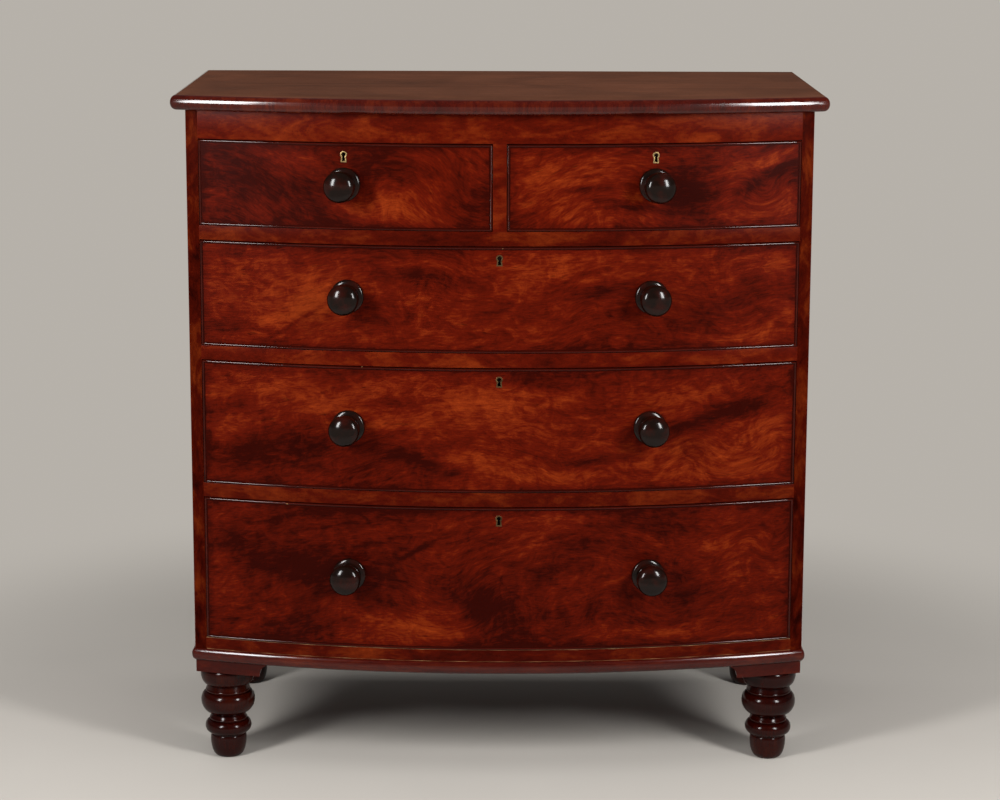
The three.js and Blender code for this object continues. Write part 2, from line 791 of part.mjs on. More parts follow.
function makeCase() {
  const group = new THREE.Group();
  const stop = caseWidth * stopPlaceShare;
  const span = halfOpening - runnerWidth;
  const middle = halfMuntin + runnerWidth;
  const longStops = [-stop, stop];
  const shortStops = [-stop, -stop / 2, stop / 2, stop];
  const shortSpans = [[-span, -middle], [middle, span]];
  group.add(piece('top', makeTop(), topMahogany));
  group.add(piece('side_left', makeSide(-1), mahogany));
  group.add(piece('side_right', makeSide(1), mahogany));
  group.add(piece('back_panel', makeBack(), pine));
  group.add(piece('frieze_rail', makeFrieze(), mahogany));
  group.add(piece('rail_upper', makeRail(upperRowTop, shortSpans, shortStops, 0), mahogany));
  group.add(piece('rail_middle', makeRail(middleRowTop, [[-span, span]], longStops, 0), mahogany));
  group.add(piece('rail_lower', makeRail(lowerRowTop, [[-span, span]], longStops, 0), mahogany));
  group.add(piece('rail_bottom', makeBottomRail(longStops), mahogany));
  group.add(piece('bottom_board', makeBottomBoard(), pine));
  group.add(piece('muntin', makeMuntin(), mahogany));
  group.add(piece('partition', makePartition(), pine));
  group.add(piece('base_board', makeBase(), mahogany));
  group.add(piece('foot_front_left', makeFoot(-1, true), mahogany));
  group.add(piece('foot_front_right', makeFoot(1, true), mahogany));
  group.add(piece('foot_back_left', makeFoot(-1, false), mahogany));
  group.add(piece('foot_back_right', makeFoot(1, false), mahogany));
  return group;
}

function makeDrawers() {
  const group = new THREE.Group();
  const shortLeft = drawerSizes(-halfOpening, -halfMuntin, shortRowBottom, shortRowTop);
  const shortRight = drawerSizes(halfMuntin, halfOpening, shortRowBottom, shortRowTop);
  group.add(makeDrawer('short_left', shortLeft, { knob: -shortCentre }));
  group.add(makeDrawer('short_right', shortRight, { knob: shortCentre }));
  const rows = {
    long_upper: [upperRowBottom, upperRowTop],
    long_middle: [middleRowBottom, middleRowTop],
    long_lower: [lowerRowBottom, lowerRowTop],
  };
  const pair = { knob_left: -knobSpacing / 2, knob_right: knobSpacing / 2 };
  for (const [name, [bottom, top]] of Object.entries(rows)) {
    group.add(makeDrawer(name, drawerSizes(-halfOpening, halfOpening, bottom, top), pair));
  }
  return group;
}

const chest = new THREE.Group();
chest.add(makeCase(), makeDrawers());
const extent = new THREE.Box3().setFromObject(chest, true);
chest.position.y = -(extent.min.y + extent.max.y) / 2;

export default chest;
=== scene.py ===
"""Bow front chest of drawers: its polished surfaces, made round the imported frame."""

import math

import bmesh
import bpy
import numpy as np
from bpy.props import FloatProperty, FloatVectorProperty, IntProperty, PointerProperty
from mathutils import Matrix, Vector


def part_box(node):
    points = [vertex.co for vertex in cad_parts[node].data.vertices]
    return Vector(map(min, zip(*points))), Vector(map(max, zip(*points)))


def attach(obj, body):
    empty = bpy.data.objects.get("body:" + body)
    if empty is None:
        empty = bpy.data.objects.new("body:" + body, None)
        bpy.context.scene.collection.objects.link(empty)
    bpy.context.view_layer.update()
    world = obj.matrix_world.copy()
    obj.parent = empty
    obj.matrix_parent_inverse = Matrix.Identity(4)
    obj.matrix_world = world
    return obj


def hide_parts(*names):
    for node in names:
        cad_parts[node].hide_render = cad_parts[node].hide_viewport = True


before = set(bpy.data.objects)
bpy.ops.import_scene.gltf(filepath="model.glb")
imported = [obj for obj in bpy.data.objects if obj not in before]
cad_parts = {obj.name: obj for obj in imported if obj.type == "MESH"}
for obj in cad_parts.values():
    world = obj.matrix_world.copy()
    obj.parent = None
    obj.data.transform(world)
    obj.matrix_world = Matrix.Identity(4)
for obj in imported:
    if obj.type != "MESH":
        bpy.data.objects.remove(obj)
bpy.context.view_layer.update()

bl_info = {
    "name": "Bow front chest of drawers",
    "version": (1, 0, 0),
    "blender": (4, 5, 0),
    "location": "View3D > Sidebar > Chest",
    "description": "Veneers, beads, turnings and polish for a bow front chest of drawers",
    "category": "Object",
}

SHORT_DRAWERS = ("short_left", "short_right")
LONG_DRAWERS = ("long_upper", "long_middle", "long_lower")
DRAWERS = SHORT_DRAWERS + LONG_DRAWERS
HANDS = {"left": -1, "right": 1}
CARCASE = "carcase"

# Places along a turning: shares of a knob's reach, counted from the drawer's face, and of a
# foot's turned part, counted from the floor
COLLAR_AT, NECK_FROM, NECK_TO, DOME_AT = 0.08, 0.17, 0.26, 0.745
RING_AT = (0.35, 0.4, 0.45)
TOE_AT, SECOND_AT, BULB_AT, TOP_RING_AT = (
    (0, 0.19, 0.245), (0.26, 0.335, 0.405), (0.485, 0.63, 0.725), (0.81, 0.94, 1))
LOW_BEAD_AT, HIGH_BEAD_AT = (0.405, 0.44), (0.725, 0.76)

# Facets on the round parts, counted on each half of a turned swelling, and the columns of
# points in a foot's block
COLLAR_FACETS, RING_FACETS, DOME_FACETS = 8, 6, 14
LOWER_FACETS, BULB_FACETS, TOP_RING_FACETS, SMALL_BEAD_FACETS = 10, 12, 8, 5
KEYHOLE_FACETS, BEAD_FACETS, LINING_FACETS = 24, 12, 4
ARRIS_FACETS, CORNER_FACETS, COVE_FACETS, BLOCK_COLUMNS = 5, 8, 12, 14

SHARP_DEGREES = 38  # faces that turn by more than this meet in a sharp edge
MEETING = 1e-6  # points nearer to each other than this, in metres, become one
SLIVER = 1e-7  # edges shorter than this, in metres, are taken out
HAIR = 1e-4  # least thickness of a foot's block, in metres, where its hollow runs out
FLOOR_RADIUS = 60  # metres
FLOOR_SIDES = 96
FLOOR_SHADE = 0.97  # darkest tone of the floor paper, as a share of its colour
AIM_ASIDE = 6  # a softbox is aimed this many times nearer to the middle than it stands
FIGURE_APART = 1.7  # step in the noise from one front's figure to the next one's


def length(name, description, default):
    """A size in metres that a user can change."""
    return FloatProperty(name=name, description=description, default=default, min=0,
                         precision=5, unit="LENGTH")


def share(name, description, default):
    """A part of another size, from 0 to 1."""
    return FloatProperty(name=name, description=description, default=default, min=0, max=1,
                         subtype="FACTOR")


def steps(name, description, default):
    """A number of steps or sides."""
    return IntProperty(name=name, description=description, default=default, min=3)


def colour(name, description, default):
    """A linear colour."""
    return FloatVectorProperty(name=name, description=description, default=default, size=3,
                               min=0, max=1, subtype="COLOR")


def amount(name, description, default):
    """A plain number, such as a lamp's strength."""
    return FloatProperty(name=name, description=description, default=default, min=0)


class CaseSizes(bpy.types.PropertyGroup):
    bow_rise: length("Bow rise", "How far the bow stands out past the front corners", 0.077)
    proud: length("Veneer proud", "How far a veneer stands out from the solid's face", 0.0001)
    veneer: length("Veneer", "Thickness of the veneer and the ground it is laid on", 0.001)
    arris: length("Arris", "Radius of a rubbed edge", 0.0008)
    top_nose: length("Top nose", "Depth of the rounded edge of the top", 0.009)
    corner: length("Corner", "Radius of the top's and the base board's corners", 0.006)
    base_nose: length("Base nose", "Depth of the half round edge of the base board", 0.006)
    back_board: length("Back board", "Width of one board of the back", 0.165)
    bow_step: length("Bow step", "Length of one facet along the bow", 0.01)
    nose_steps: steps("Nose steps", "Facets round a rounded edge", 16)


class DrawerSizes(bpy.types.PropertyGroup):
    side_gap: length("Side gap", "Gap between a drawer and the case beside it", 0.0012)
    top_gap: length("Top gap", "Gap between a drawer and the rail over it", 0.0015)
    foot_gap: length("Foot gap", "Gap between a drawer and the rail under it", 0.0008)
    bead_width: length("Bead width", "Width of the cockbead", 0.0032)
    bead_depth: length("Bead depth", "Depth of the cockbead behind the face", 0.01)
    bead_proud: length("Bead proud", "How far the cockbead stands out", 0.0018)
    # The dark of this line is painted shade on the veneer's edge; the gap itself is too narrow to
    # show it
    bead_gap: length("Bead gap", "Dark line between the veneer and the bead", 0.00015)
    figure_step: length("Figure step", "Spacing of the points that hold the figure", 0.005)


class KeyholeSizes(bpy.types.PropertyGroup):
    drop: length("Drop", "Keyhole's middle below the top of its opening", 0.023)
    head: length("Head", "Radius of the keyhole's round head", 0.0034)
    waist: length("Waist", "Half width of the keyhole's waist", 0.0018)
    skirt: length("Skirt", "Half width of the keyhole's foot", 0.0028)
    height: length("Height", "Height of the keyhole", 0.014)
    wall: length("Wall", "Wall of the brass lining", 0.0022)
    depth: length("Depth", "Depth of the brass lining", 0.009)
    proud: length("Proud", "How far the lining stands out", 0.0003)


class KnobSizes(bpy.types.PropertyGroup):
    rise: length("Rise", "Knob's middle above the middle of its row", 0.003)
    spacing: length("Spacing", "Distance between the knobs of a long drawer", 0.492)
    reach: length("Reach", "Length of a knob from the drawer's face", 0.0535)
    radius: length("Radius", "Radius of the dome", 0.0253)
    collar: length("Collar", "Radius of the collar on the drawer's face", 0.0275)
    bead: length("Bead", "Radius of the ring behind the dome", 0.023)
    groove: length("Groove", "Radius beside that ring", 0.02)
    neck: length("Neck", "Radius of the neck", 0.0145)
    seat: length("Seat", "Gap between the collar and the drawer's face", 0.0003)
    sides: steps("Sides", "Facets round a knob", 72)


class FootSizes(bpy.types.PropertyGroup):
    turning: length("Turning", "Height of the turned part", 0.157)
    inset: length("Inset", "Foot's middle from the side and the front of the case", 0.05)
    block_width: length("Block width", "Width of the square block", 0.109)
    block_inset: length("Block inset", "Block's set-back from the case", 0.001)
    cove_width: length("Cove width", "Width of the hollow at a front block's end", 0.012)
    cove_height: length("Cove height", "Height of the hollow at a front block's end", 0.019)
    top: length("Top", "Radius under the block", 0.0415)
    ring: length("Ring", "Radius of the upper ring", 0.0458)
    neck: length("Neck", "Radius under the upper ring", 0.0345)
    fillet: length("Fillet", "Radius of the upper fillet", 0.037)
    bulb: length("Bulb", "Radius of the large bulb", 0.0455)
    waist: length("Waist", "Radius of the waist", 0.0265)
    low_fillet: length("Low fillet", "Radius of the lower fillet", 0.031)
    second: length("Second bulb", "Radius of the second bulb", 0.039)
    ankle: length("Ankle", "Radius of the ankle", 0.0285)
    toe: length("Toe", "Radius of the toe", 0.0304)
    sole: length("Sole", "Radius of the sole", 0.019)
    quirk: length("Quirk", "Depth of the cut beside a small bead", 0.0012)
    small_bead: length("Small bead", "How far a small bead stands out", 0.0008)
    sides: steps("Sides", "Facets round a foot", 96)


class Finishes(bpy.types.PropertyGroup):
    deep: colour("Deep", "Darkest mahogany", (0.022, 0.0013, 0.0004))
    red: colour("Red", "Middle mahogany", (0.081, 0.0046, 0.001))
    orange: colour("Orange", "Lightest mahogany", (0.205, 0.025, 0.0036))
    # The top's colour is greyer than the fronts' mahogany: partly fading, partly a painted sheen
    # that stands for the pale walls' reflection at a low angle
    top: colour("Top", "Faded mahogany of the top", (0.085, 0.032, 0.0175))
    bead: colour("Bead", "Dark red of the cockbeads", (0.04, 0.003, 0.001))
    ebony: colour("Ebony", "Blackened mahogany of the knobs", (0.005, 0.002, 0.0012))
    pine: colour("Pine", "Old pine of the insides", (0.4, 0.225, 0.095))
    brass: colour("Brass", "Brass of the upper keyhole linings", (0.42, 0.29, 0.13))
    dull_brass: colour("Dull brass", "Brass of the lower keyhole linings", (0.17, 0.1, 0.045))
    iron: colour("Iron", "Iron of the locks", (0.12, 0.11, 0.10))


class Studio(bpy.types.PropertyGroup):
    focal: FloatProperty(name="Focal length", description="Lens of the camera, in millimetres",
                         default=94.5, min=1, unit="CAMERA")
    distance: length("Distance", "Camera in front of the case's front corners", 4.25)
    height: length("Height", "Height of the camera", 1.508)
    pitch: FloatProperty(name="Pitch", description="How far the camera looks down",
                         default=math.radians(10.64), unit="ROTATION")
    roll: FloatProperty(name="Roll", description="How far the camera leans",
                        default=math.radians(0.169), unit="ROTATION")
    yaw: FloatProperty(name="Yaw", description="How far the camera turns to the right",
                       default=math.radians(0.013), unit="ROTATION")
    shift: FloatProperty(name="Shift", description="Vertical shift of the lens", default=-0.05)
    aside: FloatProperty(name="Aside", description="Camera beside the chest's middle",
                         default=-0.0021, precision=5, unit="LENGTH")
    backdrop: colour("Backdrop", "Pale floor and backdrop", (0.47, 0.44, 0.40))
    near: length("Near floor", "Radius of the floor that the lamps light", 0.75)
    far: length("Far floor", "Radius at which the floor has become backdrop", 1.7)
    haze_low: share("Haze low", "Height of a ray up to which the walls are pale", 0.08)
    haze_high: share("Haze high", "Height of a ray from which the ceiling is dim", 0.16)
    ceiling: colour("Ceiling", "Dim ceiling over the pale walls", (0.11, 0.11, 0.11))
    softbox_side: length("Softbox side", "Softbox beside the chest's middle", 1.75)
    softbox_front: length("Softbox front", "Softbox in front of the chest's middle", 1.95)
    softbox_height: length("Softbox height", "Height of a softbox's middle", 1.7)
    softbox_aim: length("Softbox aim", "Height at which a softbox is aimed", 0.75)
    softbox_width: length("Softbox width", "Width of a softbox", 0.46)
    softbox_tall: length("Softbox tall", "Height of a softbox from edge to edge", 1.2)
    softbox_power: amount("Softbox power", "Power of each softbox, in watts", 70)
    panel_height: length("Panel height", "Height of the large lamp overhead", 3.0)
    panel_front: length("Panel front", "Large lamp in front of the chest's middle", 0.2)
    panel_width: length("Panel width", "Side of the large lamp overhead", 2.8)
    panel_power: amount("Panel power", "Power of the large lamp overhead, in watts", 48)


class ChestSettings(bpy.types.PropertyGroup):
    case: PointerProperty(type=CaseSizes, name="Case", description="Case and veneers")
    drawer: PointerProperty(type=DrawerSizes, name="Drawers", description="Drawers and beads")
    keyhole: PointerProperty(type=KeyholeSizes, name="Keyholes", description="Keyhole linings")
    knob: PointerProperty(type=KnobSizes, name="Knobs", description="Turned knobs")
    foot: PointerProperty(type=FootSizes, name="Feet", description="Turned feet")
    finish: PointerProperty(type=Finishes, name="Finishes", description="Colours")
    studio: PointerProperty(type=Studio, name="Studio", description="Camera, floor and lamps")


def settings():
    """The chest's settings on the scene in use."""
    return bpy.context.scene.bow_front_chest


# Nodes: short forms for building trees

def node(tree, kind, inputs=None, **values):
    """Adds a node. A value sets a property of it, and an input is a socket or a plain value."""
    made = tree.nodes.new(kind)
    for key, value in values.items():
        setattr(made, key, value)
    for key, value in (inputs or {}).items():
        if isinstance(value, bpy.types.NodeSocket):
            tree.links.new(value, made.inputs[key])
        else:
            made.inputs[key].default_value = value
    return made


def maths(tree, operation, *terms):
    """The result of one Math node."""
    return node(tree, "ShaderNodeMath", dict(enumerate(terms)), operation=operation).outputs[0]


def vectors(tree, operation, *terms):
    """The vector that one Vector Math node gives."""
    made = node(tree, "ShaderNodeVectorMath", dict(enumerate(terms)), operation=operation)
    return made.outputs[0]


# Geometry Nodes: one tree runs a section along a path, for beads, linings and turnings

def build_run_tree():
    """A section run along a path. Each point of the path says which way the section's two axes
    point there, so that a straight run, a mitred loop and a turning are all made alike."""
    tree = bpy.data.node_groups.new("Section along a path", "GeometryNodeTree")
    for name, direction, kind in (
        ("Path", "INPUT", "NodeSocketGeometry"),
        ("Section", "INPUT", "NodeSocketObject"),
        ("Join distance", "INPUT", "NodeSocketFloat"),
        ("Material", "INPUT", "NodeSocketMaterial"),
        ("Run", "OUTPUT", "NodeSocketGeometry"),
    ):
        tree.interface.new_socket(name=name, in_out=direction, socket_type=kind)
    given = node(tree, "NodeGroupInput")
    section = node(tree, "GeometryNodeObjectInfo", {"Object": given.outputs["Section"]})
    path = given.outputs["Path"]
    outline = section.outputs["Geometry"]

    def count(geometry):
        size = node(tree, "GeometryNodeAttributeDomainSize", {"Geometry": geometry})
        return size.outputs["Point Count"]

    def sample(geometry, value, index):
        taken = node(tree, "GeometryNodeSampleIndex",
                     {"Geometry": geometry, "Value": value, "Index": index},
                     data_type="FLOAT_VECTOR", domain="POINT")
        return taken.outputs["Value"]

    def along(name):
        named = node(tree, "GeometryNodeInputNamedAttribute", {"Name": name},
                     data_type="FLOAT_VECTOR")
        return sample(path, named.outputs["Attribute"], row)

    grid = node(tree, "GeometryNodeMeshGrid",
                {"Vertices X": count(path), "Vertices Y": count(outline)})
    index = node(tree, "GeometryNodeInputIndex").outputs[0]
    row = maths(tree, "FLOOR", maths(tree, "DIVIDE", index, count(outline)))
    column = maths(tree, "MODULO", index, count(outline))
    place = node(tree, "GeometryNodeInputPosition").outputs[0]
    parts = node(tree, "ShaderNodeSeparateXYZ", {0: sample(outline, place, column)})
    offset = vectors(tree, "ADD", *(
        node(tree, "ShaderNodeVectorMath", {0: along(name), "Scale": parts.outputs[axis]},
             operation="SCALE").outputs[0]
        for name, axis in (("across", "X"), ("outward", "Y"))))
    moved = node(tree, "GeometryNodeSetPosition", {
        "Geometry": grid.outputs["Mesh"],
        "Position": vectors(tree, "ADD", sample(path, place, row), offset),
    })
    joined = node(tree, "GeometryNodeMergeByDistance", {
        "Geometry": moved.outputs[0], "Distance": given.outputs["Join distance"]})
    real = node(tree, "GeometryNodeRealizeInstances", {"Geometry": joined.outputs[0]})
    painted = node(tree, "GeometryNodeSetMaterial", {
        "Geometry": real.outputs[0], "Material": given.outputs["Material"]})
    node(tree, "NodeGroupOutput", {0: painted.outputs[0]})
    return tree


def tree_named(name, build):
    """The tree of that name, built the first time that it is asked for."""
    return bpy.data.node_groups.get(name) or build()


# Meshes

def new_object(name, data):
    """An object in the scene for a mesh, a lamp or a camera."""
    made = bpy.data.objects.new(name, data)
    bpy.context.scene.collection.objects.link(made)
    return made


def polyline(name, points, **directions):
    """Points joined in a row, with a vector attribute for each named list of directions."""
    mesh = bpy.data.meshes.new(name)
    mesh.from_pydata([tuple(p) for p in points], [(i, i + 1) for i in range(len(points) - 1)], [])
    for key, rows in directions.items():
        attribute = mesh.attributes.new(key, "FLOAT_VECTOR", "POINT")
        attribute.data.foreach_set("vector", np.array([tuple(r) for r in rows], float).ravel())
    return new_object(name, mesh)


def discard(*objects):
    """Removes construction objects with their meshes."""
    for spare in objects:
        mesh = spare.data
        bpy.data.objects.remove(spare)
        bpy.data.meshes.remove(mesh)


def evaluated_mesh(source, name):
    """What an object's modifiers make of it, as a plain mesh."""
    graph = bpy.context.evaluated_depsgraph_get()
    mesh = bpy.data.meshes.new_from_object(source.evaluated_get(graph), depsgraph=graph)
    mesh.name = name
    return mesh


def close_up(mesh):
    """Checks that a mesh is closed, turns its faces outwards and smooths its round surfaces."""
    shell = bmesh.new()
    shell.from_mesh(mesh)
    bmesh.ops.remove_doubles(shell, verts=shell.verts, dist=MEETING)
    bmesh.ops.dissolve_degenerate(shell, edges=shell.edges, dist=SLIVER)
    if any(len(edge.link_faces) != 2 for edge in shell.edges):
        raise RuntimeError(f"{mesh.name} is not closed")
    bmesh.ops.recalc_face_normals(shell, faces=shell.faces)
    if shell.calc_volume(signed=True) < 0:
        bmesh.ops.reverse_faces(shell, faces=shell.faces)
    shell.to_mesh(mesh)
    shell.free()
    mesh.shade_smooth()
    mesh.set_sharp_from_angle(angle=math.radians(SHARP_DEGREES))


def set_on(piece, body, slot, *nodes):
    """Lets a finished piece ride on a body, and hides the nodes that it takes the place of."""
    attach(piece, body)
    if nodes:
        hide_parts(*nodes)
    return piece


def run_section(name, path, section, material):
    """A closed piece made by the run tree from (point, across, outward) rows and a section."""
    points, across, outward = zip(*path)
    line = polyline(f"{name}_path", points, across=across, outward=outward)
    outline = polyline(f"{name}_section", [(a, b, 0) for a, b in section])
    tree = tree_named("Section along a path", build_run_tree)
    modifier = line.modifiers.new("run", "NODES")
    modifier.node_group = tree
    sockets = tree.interface.items_tree
    modifier[sockets["Section"].identifier] = outline
    modifier[sockets["Join distance"].identifier] = MEETING
    modifier[sockets["Material"].identifier] = material
    mesh = evaluated_mesh(line, name)
    line.modifiers.remove(modifier)
    discard(line, outline)
    close_up(mesh)
    return new_object(name, mesh)


def loft(name, rows, material):
    """A closed piece through rows of as many points each, with a flat cap at both ends."""
    mesh = bpy.data.meshes.new(name)
    count = len(rows[0])
    faces = [tuple(range(count)), tuple((len(rows) - 1) * count + k for k in range(count))]
    for i in range(len(rows) - 1):
        for k in range(count):
            a, b = i * count + k, i * count + (k + 1) % count
            faces.append((a, b, b + count, a + count))
    mesh.from_pydata([tuple(p) for row in rows for p in row], [], faces)
    mesh.materials.append(material)
    close_up(mesh)
    return new_object(name, mesh)


def arc(middle, radius, start, end, count):
    """Points on an arc, from one angle to another in degrees."""
    angles = np.radians(np.linspace(start, end, count + 1))
    return [(middle[0] + radius * math.cos(a), middle[1] + radius * math.sin(a)) for a in angles]


def swelling(low, middle, high, count):
    """A turned swelling from a lower (radius, height) out to the middle and in to an upper one."""
    points = []
    for i in range(2 * count + 1):
        angle = math.pi / 2 * (i / count - 1)
        end = low if i < count else high
        rise = middle[1] - low[1] if i < count else high[1] - middle[1]
        radius = end[0] + (middle[0] - end[0]) * math.cos(angle)
        points.append((radius, middle[1] + rise * math.sin(angle)))
    return points


# The bow, in the frame's own axes

class Bow:
    """The circle that the front of the case follows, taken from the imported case."""

    def __init__(self):
        rise = settings().case.bow_rise
        low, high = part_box("side_left")
        self.half = -low.x
        self.radius = (self.half ** 2 + rise ** 2) / (2 * rise)
        self.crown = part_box("frieze_rail")[0].y
        self.centre = self.crown + self.radius
        self.corner = self.crown + rise
        self.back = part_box("top")[1].y

    def angle(self, x):
        return math.asin(x / self.radius)

    def y(self, x, out=0.0):
        return self.centre - math.sqrt((self.radius + out) ** 2 - x ** 2)

    def at(self, x, z, out=0.0):
        """A point that lies outward of the bow's face at x."""
        return Vector((x, self.y(x), z)) + self.outward(x) * out

    def outward(self, x):
        a = self.angle(x)
        return Vector((math.sin(a), -math.cos(a), 0))

    def across(self, x):
        a = self.angle(x)
        return Vector((math.cos(a), math.sin(a), 0))

    def places(self, x0, x1, step=None):
        count = max(1, round((x1 - x0) / (step or settings().case.bow_step)))
        return [float(x) for x in np.linspace(x0, x1, count + 1)]


UP = Vector((0, 0, 1))
FLAT = 0.999  # upright share of a face's normal from which the face is taken as level
NOWHERE = Vector((0, 0, 0))  # no direction: a section with this for both axes is a point


# Materials

class Shader:
    """A node-based material with a Principled shader, and what its textures read."""

    def __init__(self, name, **constants):
        self.material = bpy.data.materials.new(name)
        self.material.use_nodes = True
        self.tree = self.material.node_tree
        self.tree.nodes.clear()
        self.surface = node(self.tree, "ShaderNodeBsdfPrincipled")
        for key, value in constants.items():
            self.surface.inputs[key.replace("_", " ")].default_value = value
        node(self.tree, "ShaderNodeOutputMaterial", {"Surface": self.surface.outputs[0]})
        self.where = node(self.tree, "ShaderNodeTexCoord").outputs["Object"]

    def attribute(self, name):
        return node(self.tree, "ShaderNodeAttribute", attribute_name=name)

    def stretched(self, scale, offset=(0, 0, 0)):
        return node(self.tree, "ShaderNodeMapping",
                    {"Vector": self.where, "Scale": scale, "Location": offset}).outputs[0]

    def noise(self, scale, detail=3, roughness=0.5, warp=0.0, offset=(0, 0, 0)):
        made = node(self.tree, "ShaderNodeTexNoise", {
            "Vector": self.stretched(scale, offset), "Scale": 1.0, "Detail": detail,
            "Roughness": roughness, "Distortion": warp})
        return made.outputs[0]

    def ramp(self, value, *stops):
        """A colour ramp through (place, colour) stops; a plain number gives a grey."""
        made = node(self.tree, "ShaderNodeValToRGB", {"Fac": value})
        band = made.color_ramp
        while len(band.elements) < len(stops):
            band.elements.new(0.5)
        for element, (place, shade) in zip(band.elements, stops):
            element.position = place
            grey = isinstance(shade, (int, float))
            element.color = (shade, shade, shade, 1) if grey else (*shade, 1)
        return made.outputs["Color"]

    def mix(self, blend, factor, first, second):
        first, second = (value if isinstance(value, bpy.types.NodeSocket) else (*value, 1)
                         for value in (first, second))
        made = node(self.tree, "ShaderNodeMix", {0: factor, 6: first, 7: second},
                    data_type="RGBA", blend_type=blend)
        return made.outputs[2]

    def sum(self, base, *terms):
        """base plus each value times its weight, where a value is centred on a half."""
        total = base
        for value, weight in terms:
            centred = maths(self.tree, "SUBTRACT", value, 0.5)
            total = maths(self.tree, "ADD", total, maths(self.tree, "MULTIPLY", centred, weight))
        return total

    def boards(self, width):
        """Greys for upright boards: a dark joint between them and a tone for each."""
        x = node(self.tree, "ShaderNodeSeparateXYZ", {0: self.where}).outputs["X"]
        place = maths(self.tree, "DIVIDE", x, width)
        tone = node(self.tree, "ShaderNodeTexWhiteNoise", {
            "W": maths(self.tree, "FLOOR", place)}, noise_dimensions="1D").outputs["Value"]
        across = maths(self.tree, "FRACT", place)
        edge = maths(self.tree, "MINIMUM", across, maths(self.tree, "SUBTRACT", 1.0, across))
        joint = self.ramp(edge, (0.006, 0.12), (0.012, 1.0))
        return self.mix("MULTIPLY", 1.0, joint, self.ramp(tone, (0.0, 0.72), (1.0, 1.0)))

    def bump(self, height, distance, strength=1.0):
        made = node(self.tree, "ShaderNodeBump",
                    {"Height": height, "Distance": distance, "Strength": strength})
        self.tree.links.new(made.outputs[0], self.surface.inputs["Normal"])
        if self.surface.inputs["Coat Weight"].default_value:
            self.tree.links.new(made.outputs[0], self.surface.inputs["Coat Normal"])

    def finish(self, colour=None, roughness=None):
        if colour is not None:
            self.tree.links.new(colour, self.surface.inputs["Base Color"])
        if roughness is not None:
            self.tree.links.new(roughness, self.surface.inputs["Roughness"])
        return self.material


def toned(shade, strength):
    """A colour made darker or lighter."""
    return tuple(c * strength for c in shade)


GRAIN = {"x": (1, 14, 14), "y": (14, 1, 14), "z": (14, 14, 1), "blotch": (4, 11, 11),
         "upright blotch": (12, 12, 5)}


def polished_wood(name, tones, grain="x", figure=0.55, coat=0.0, roughness=0.28, level=0.03,
                  shift=0.0, open_grain=0.5):
    """French polished mahogany whose grain runs along one axis of the chest."""
    shader = Shader(name, Coat_Weight=coat, Coat_Roughness=0.14, Specular_IOR_Level=level)
    long, cross = 3.2, GRAIN[grain]
    scale = [long * c for c in cross]
    away = (shift, shift * 2.3, shift * 3.1)
    bands = shader.noise(scale, detail=6, roughness=0.62, warp=0.8, offset=away)
    fibres = shader.noise([s * 7 for s in scale], detail=3, offset=away)
    blotch = shader.noise((5, 5, 5), detail=4, roughness=0.6, warp=0.6, offset=away)
    pores = shader.noise([s * 30 for s in scale], detail=1)
    value = shader.sum(0.5, (bands, figure * 1.5), (fibres, 0.35), (blotch, 0.8))
    deep, red, orange = tones
    base = shader.ramp(value, (0.12, deep), (0.5, red), (0.92, orange))
    dark = shader.ramp(pores, (0.3, 0.55), (0.46, 1.0))
    base = shader.mix("MULTIPLY", 0.8, base, dark)
    if open_grain:
        shader.bump(shader.sum(0.5, (fibres, 0.5), (pores, 0.5)), 0.00012, open_grain)
    rough = shader.ramp(blotch, (0.3, roughness - 0.05), (0.7, roughness + 0.07))
    return shader.finish(base, rough)


def veneer_material(name):
    """Flame mahogany, which reads its warped grain and its shades from the veneer itself."""
    finish = settings().finish
    shader = Shader(name, Specular_IOR_Level=0.03)
    shader.where = shader.attribute("figure").outputs["Vector"]
    # The shade attribute holds the figure's light and dark patches and, along the edges beside the
    # beads, painted shade
    shade = shader.attribute("shade").outputs["Fac"]
    bands = shader.noise((5.0, 27, 1), detail=6, roughness=0.65, warp=0.9)
    streaks = shader.noise((24, 130, 1), detail=5, roughness=0.65, warp=0.6)
    fibres = shader.noise((80, 620, 1), detail=2)
    mottle = shader.noise((24, 34, 1), detail=6, roughness=0.7, warp=1.6)
    cloud = shader.noise((5, 8, 1), detail=4, roughness=0.55)
    pores = shader.noise((150, 1900, 1), detail=1)
    value = shader.sum(0.44, (bands, 0.75), (streaks, 0.5), (fibres, 0.5), (mottle, 1.05),
                       (cloud, 1.1))
    value = maths(shader.tree, "ADD", value, shade)
    base = shader.ramp(value, (0.08, finish.deep), (0.5, finish.red), (0.95, finish.orange))
    flecks = shader.noise((22, 95, 1), detail=3, roughness=0.7, warp=0.8)
    dark = shader.ramp(flecks, (0.27, 0.35), (0.38, 1.0))
    base = shader.mix("MULTIPLY", 0.8, base, dark)
    open_pores = shader.ramp(pores, (0.3, 0.6), (0.45, 1.0))
    base = shader.mix("MULTIPLY", 0.7, base, open_pores)
    shader.bump(shader.sum(0.5, (streaks, 0.6), (pores, 0.5)), 0.0001, 0.45)
    rough = shader.ramp(cloud, (0.3, 0.25), (0.7, 0.38))
    return shader.finish(base, rough)


def bead_material():
    """Dark bead with small knocks where the polish has gone."""
    finish = settings().finish
    shader = Shader("bead_polish", Coat_Weight=0.45, Coat_Roughness=0.1, Specular_IOR_Level=0.0)
    tone = shader.noise((9, 40, 60), detail=4)
    base = shader.ramp(tone, (0.3, toned(finish.bead, 0.5)), (0.7, finish.bead))
    knocks = shader.noise((70, 70, 110), detail=2, roughness=0.5)
    pale = shader.ramp(knocks, (0.765, 0.0), (0.785, 1.0))
    base = shader.mix("MIX", pale, base, finish.pine)
    shader.bump(shader.noise((60, 60, 200), detail=2), 0.00015, 0.5)
    return shader.finish(base, shader.ramp(tone, (0.3, 0.24), (0.7, 0.34)))


